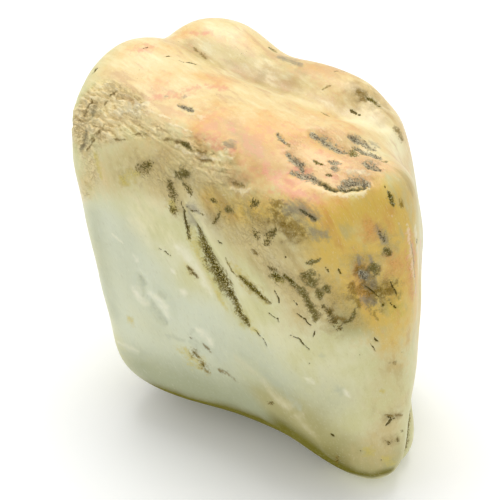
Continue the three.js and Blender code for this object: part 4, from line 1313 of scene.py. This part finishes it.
def nephrite_material(finish, seed):
    """Waxy jade: soft tints, then marks broken up by grain, with light going a little way in."""
    material = bpy.data.materials.new("nephrite")
    material.use_nodes = True
    graph = Graph(material.node_tree, read_in_shader)
    # The pattern follows the surface as it was before the relief was pressed into it.
    unworn = graph.add(
        "ShaderNodeAttribute", attribute_type="GEOMETRY", attribute_name="unworn"
    ).outputs["Vector"]
    place = graph.in_millimetres(unworn)
    patterns = graph.patterns(place, seed, "clouds", "wisps", "flames", "flecks")
    lumps, grains, dust = patterns.lumps, patterns.grains, patterns.dust
    strands, scales, clouds = patterns.strands, patterns.scales, patterns.clouds
    fields = {name: graph.read(name) for name in (*TINTS, *HALOED_MARKS, "relief")}
    bark, scar, rough = graph.rough_places()

    def paint(name):
        return (*getattr(finish, name), 1.0)

    def coated(colour, name, share):
        """The colour with that share of a named one over it."""
        node = graph.add("ShaderNodeMix", {0: share, 6: colour, 7: paint(name)}, data_type="RGBA")
        return node.outputs[2]

    def strewn(colour, name, pattern, low, high, most, ground=1.0):
        """The colour with a named one on the ground where the pattern goes from low to high."""
        share = graph.ramp(pattern, low, high, 0.0, most)
        return coated(colour, name, graph.product(share, ground))

    # The body, with clouds and wisps, and the soft tints over it, some of them painted shade and
    # painted highlight.
    hazy = graph.math("MULTIPLY_ADD", patterns.wisps, 0.3, graph.product(clouds, 0.7))
    colour = strewn(paint("jade"), "jade_light", hazy, 0.4, 0.62, 1.0)
    for kind in TINTS:
        unevenness = 0.5 if kind in STEADY_TINTS else 1.8
        uneven = graph.broken(fields[kind], (hazy, unevenness), (lumps, unevenness / 4))
        ends = graph.ramp(fields[kind], 0.0, 0.15)
        colour = strewn(colour, kind, uneven, 0.06, 1.0, 1.0, ends)

    # Streaks across the crown, and flames of orange and olive in the yellow corner and the brow.
    warm = graph.product(fields["cream"], graph.math("SUBTRACT", 1.0, fields["amber"]))
    streaks = graph.broken(patterns.folds, (strands, 0.4), (clouds, 0.8))
    colour = strewn(colour, "band", streaks, 0.52, 0.72, 0.6, warm)
    colour = strewn(colour, "ivory", streaks, 0.5, 0.25, 0.5, warm)
    flames = patterns.flames
    colour = strewn(colour, "ochre", flames, 0.52, 0.68, 0.6, fields["honey"])
    colour = strewn(colour, "khaki", flames, 0.48, 0.32, 0.5, fields["honey"])
    colour = strewn(colour, "halo", flames, 0.52, 0.7, 0.4, fields["straw"])
    colour = strewn(colour, "tea", flames, 0.48, 0.3, 0.4, fields["straw"])

    # Paler and darker flecks all over, and a pink flush in the orange.
    colour = strewn(colour, "gleam", patterns.flecks, 0.56, 0.76, 0.2)
    colour = strewn(colour, "halo", patterns.flecks, 0.44, 0.24, 0.16)
    blush = graph.broken(clouds, (lumps, 1.0), (strands, 0.5))
    colour = strewn(colour, "rose", blush, 0.5, 0.62, 0.4, fields["amber"])

    # Hollows and thin lines of the rind are painted darker, for grime and painted shade, and what
    # stands up is painted pale, for rubbed wear and painted highlight.
    covers = {kind: graph.cover(kind, patterns) for kind in MARKS}
    worn = graph.most(bark, graph.product(scar, 0.2), *(covers[kind] for kind in WORN_MARKS))
    lines = graph.most(
        graph.crevices(strands, CREVICE_WIDTH), graph.crevices(scales, CREVICE_WIDTH)
    )
    lines = graph.product(lines, rough, graph.ramp(clouds, 0.36, 0.6))
    hollows = graph.broken(fields["relief"], (dust, 0.4), (scales, 0.6))
    colour = strewn(colour, "dirt_and_shade", hollows, -0.02, -0.28, 0.4, bark)
    colour = coated(colour, "dirt_and_shade", graph.product(lines, 0.5))
    rises = graph.broken(fields["relief"], (dust, 0.4))
    colour = strewn(colour, "chip", rises, 0.05, 0.3, 0.5, worn)

    # The marks: an olive halo round veins and pits, then each mark, then its grit.
    haloed = graph.most(*(fields[kind] for kind in HALOED_MARKS))
    colour = coated(colour, "halo", graph.faded(haloed, HALO_EDGE, patterns, lumps))
    for kind in MARKS:
        colour = coated(colour, kind, covers[kind])
    grit = graph.most(0.0, *(
        graph.product(covers[kind], edge.grit) for kind, edge in MARK_EDGES.items()
    ))
    speckles = graph.broken(dust, (grains, 0.6))
    colour = strewn(colour, "grit", speckles, 0.51, 0.43, 0.92, grit)
    colour = strewn(colour, "tea", speckles, 0.55, 0.65, 0.6, grit)
    # Dark crevice lines in the pits: painted shade in their hollows.
    pitted = graph.most(covers["ash"], covers["pit"])
    pit_lines = graph.crevices(strands, PIT_CREVICE_WIDTH)
    colour = coated(colour, "grit", graph.product(pitted, pit_lines, 0.8))
    freckled = graph.product(graph.ramp(clouds, 0.5, 0.62), graph.most(warm, fields["straw"]))
    colour = strewn(colour, "stain", dust, 0.66, 0.74, 0.6, freckled)

    # The polish: dull where it is worn, glossy and deeper where it is whole.
    roughness = graph.ramp(worn, 0.0, 1.0, finish.gloss, finish.rind_gloss)
    shine = graph.ramp(graph.most(worn, fields["leaf"]), 0.0, 0.9, 0.5, 0.0)
    inside = graph.ramp(worn, 0.0, 1.0, finish.depth_share, finish.depth_share * 0.3)
    height = graph.product(
        graph.math("ADD", grains, dust), graph.math("MULTIPLY_ADD", worn, 4.0, 1.0),
        finish.grain_height / MM,
    )
    height = graph.math("MULTIPLY_ADD", lines, -finish.crevice_depth / MM, height)
    height = graph.math(
        "MULTIPLY_ADD", graph.product(scales, rough), finish.scale_height / MM, height
    )
    bump = graph.add("ShaderNodeBump", {
        "Height": height, "Distance": MM, "Strength": 1.0,
    }).outputs[0]
    shader = graph.add("ShaderNodeBsdfPrincipled", {
        "Base Color": colour, "Roughness": roughness, "Normal": bump, "IOR": finish.bend,
        "Specular IOR Level": shine, "Subsurface Weight": inside,
        "Subsurface Radius": (1.0, 0.85, 0.5), "Subsurface Scale": finish.depth,
    })
    graph.add("ShaderNodeOutputMaterial", {"Surface": shader.outputs[0]})
    graph.tidy()
    return material


def weathered(mesh, shape, material):
    """The marked mesh with the weathering tree carried out on it, kept inside the solid's box."""
    obj = linked_object("weathered stone", mesh)
    modifier = obj.modifiers.new("weathering", "NODES")
    modifier.node_group = weathering_tree()
    values = {label(name): getattr(shape, name) for name in WEATHERING_SIZES}
    values.update({"Seed": shape.seed, "Material": material})
    for item in modifier.node_group.interface.items_tree:
        if item.in_out == "INPUT" and item.name in values:
            modifier[item.identifier] = values[item.name]
    result = plain_result(obj)
    places = np.clip(places_of(result), np.array(cad_low), np.array(cad_high))
    result.vertices.foreach_set("co", places.ravel())
    result.update()
    return result


class PEBBLE_OT_make_stone(bpy.types.Operator):
    """Makes the stone: an even mesh, its marks, its weathered relief and its waxy finish"""

    bl_idname = "pebble.make_stone"
    bl_label = "Make the stone"

    def execute(self, context):
        scene = context.scene
        shape = scene.pebble_shape
        material = nephrite_material(scene.pebble_finish, shape.seed)
        mesh = weathered(marked_stone(shape, scene.pebble_studio), shape, material)
        stone = linked_object("river_stone", mesh)
        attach(stone, BODY)
        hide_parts(NODE)
        return {"FINISHED"}


# ---------------------------------------------------------------------------------------------
# The studio.

def make_camera(studio):
    _, _, back, eye = camera_axes(studio)
    camera = linked_object("camera", bpy.data.cameras.new("camera"))
    camera.data.lens = studio.lens
    camera.data.sensor_width = studio.sensor
    camera.data.clip_start = studio.nearest
    camera.data.clip_end = studio.farthest
    camera.location = eye
    camera.rotation_euler = back.to_track_quat("Z", "Y").to_euler()
    bpy.context.scene.camera = camera


def make_floor(studio):
    half = studio.floor_width / 2
    corners = [(-half, -half, 0), (half, -half, 0), (half, half, 0), (-half, half, 0)]
    mesh = bpy.data.meshes.new("floor")
    mesh.from_pydata(corners, [], [(0, 1, 2, 3)])
    material = bpy.data.materials.new("floor")
    material.use_nodes = True
    shader = material.node_tree.nodes["Principled BSDF"]
    shader.inputs["Base Color"].default_value = (*studio.floor, 1.0)
    shader.inputs["Emission Color"].default_value = FLOOR_SHINE
    shader.inputs["Emission Strength"].default_value = studio.floor_glow
    shader.inputs["Roughness"].default_value = 0.9
    shader.inputs["Specular IOR Level"].default_value = 0.1
    mesh.materials.append(material)
    linked_object("floor", mesh)


def make_light(name, power, size, distance, way, studio):
    """A square light at that distance from the stone, on that way from it and turned to it."""
    right, _, back, _ = camera_axes(studio)
    across, rise, forward = way
    away = (right * across + Vector((0, 0, rise)) + back * forward).normalized()
    light = bpy.data.lights.new(name, "AREA")
    light.energy = power
    light.size = size
    obj = linked_object(name, light)
    obj.location = heart + away * distance
    obj.rotation_euler = away.to_track_quat("Z", "Y").to_euler()


def make_air(studio):
    world = bpy.data.worlds.new("air")
    world.use_nodes = True
    background = world.node_tree.nodes["Background"]
    background.inputs["Color"].default_value = (1, 1, 1, 1)
    background.inputs["Strength"].default_value = studio.air
    bpy.context.scene.world = world


class PEBBLE_OT_make_studio(bpy.types.Operator):
    """Makes the camera, the plain pale floor and the soft lights"""

    bl_idname = "pebble.make_studio"
    bl_label = "Make the studio"

    def execute(self, context):
        studio = context.scene.pebble_studio
        make_camera(studio)
        make_floor(studio)
        make_air(studio)
        size = studio.light_size
        make_light("key", studio.key, size, studio.key_distance, KEY_WAY, studio)
        make_light("fill", studio.fill, size, studio.fill_distance, FILL_WAY, studio)
        context.scene.view_settings.view_transform = "Standard"
        return {"FINISHED"}


class PEBBLE_PT_sidebar(bpy.types.Panel):
    """The pebble's settings and its two steps"""

    bl_idname = "PEBBLE_PT_sidebar"
    bl_label = "River-worn pebble"
    bl_space_type = "VIEW_3D"
    bl_region_type = "UI"
    bl_category = "Pebble"

    def draw(self, context):
        scene = context.scene
        for operator in STEPS:
            self.layout.operator(operator.bl_idname)
        for group in (scene.pebble_shape, scene.pebble_finish, scene.pebble_studio):
            box = self.layout.box()
            for name in group.__annotations__:
                box.prop(group, name)


STEPS = (PEBBLE_OT_make_studio, PEBBLE_OT_make_stone)
CLASSES = (StoneShape, StoneFinish, StudioSettings, *STEPS, PEBBLE_PT_sidebar)


def register():
    for cls in CLASSES:
        bpy.utils.register_class(cls)
    bpy.types.Scene.pebble_shape = PointerProperty(type=StoneShape)
    bpy.types.Scene.pebble_finish = PointerProperty(type=StoneFinish)
    bpy.types.Scene.pebble_studio = PointerProperty(type=StudioSettings)


def unregister():
    del bpy.types.Scene.pebble_studio
    del bpy.types.Scene.pebble_finish
    del bpy.types.Scene.pebble_shape
    for cls in reversed(CLASSES):
        bpy.utils.unregister_class(cls)


def main():
    register()
    bpy.ops.pebble.make_studio()
    bpy.ops.pebble.make_stone()


if __name__ == "__main__":
    main()
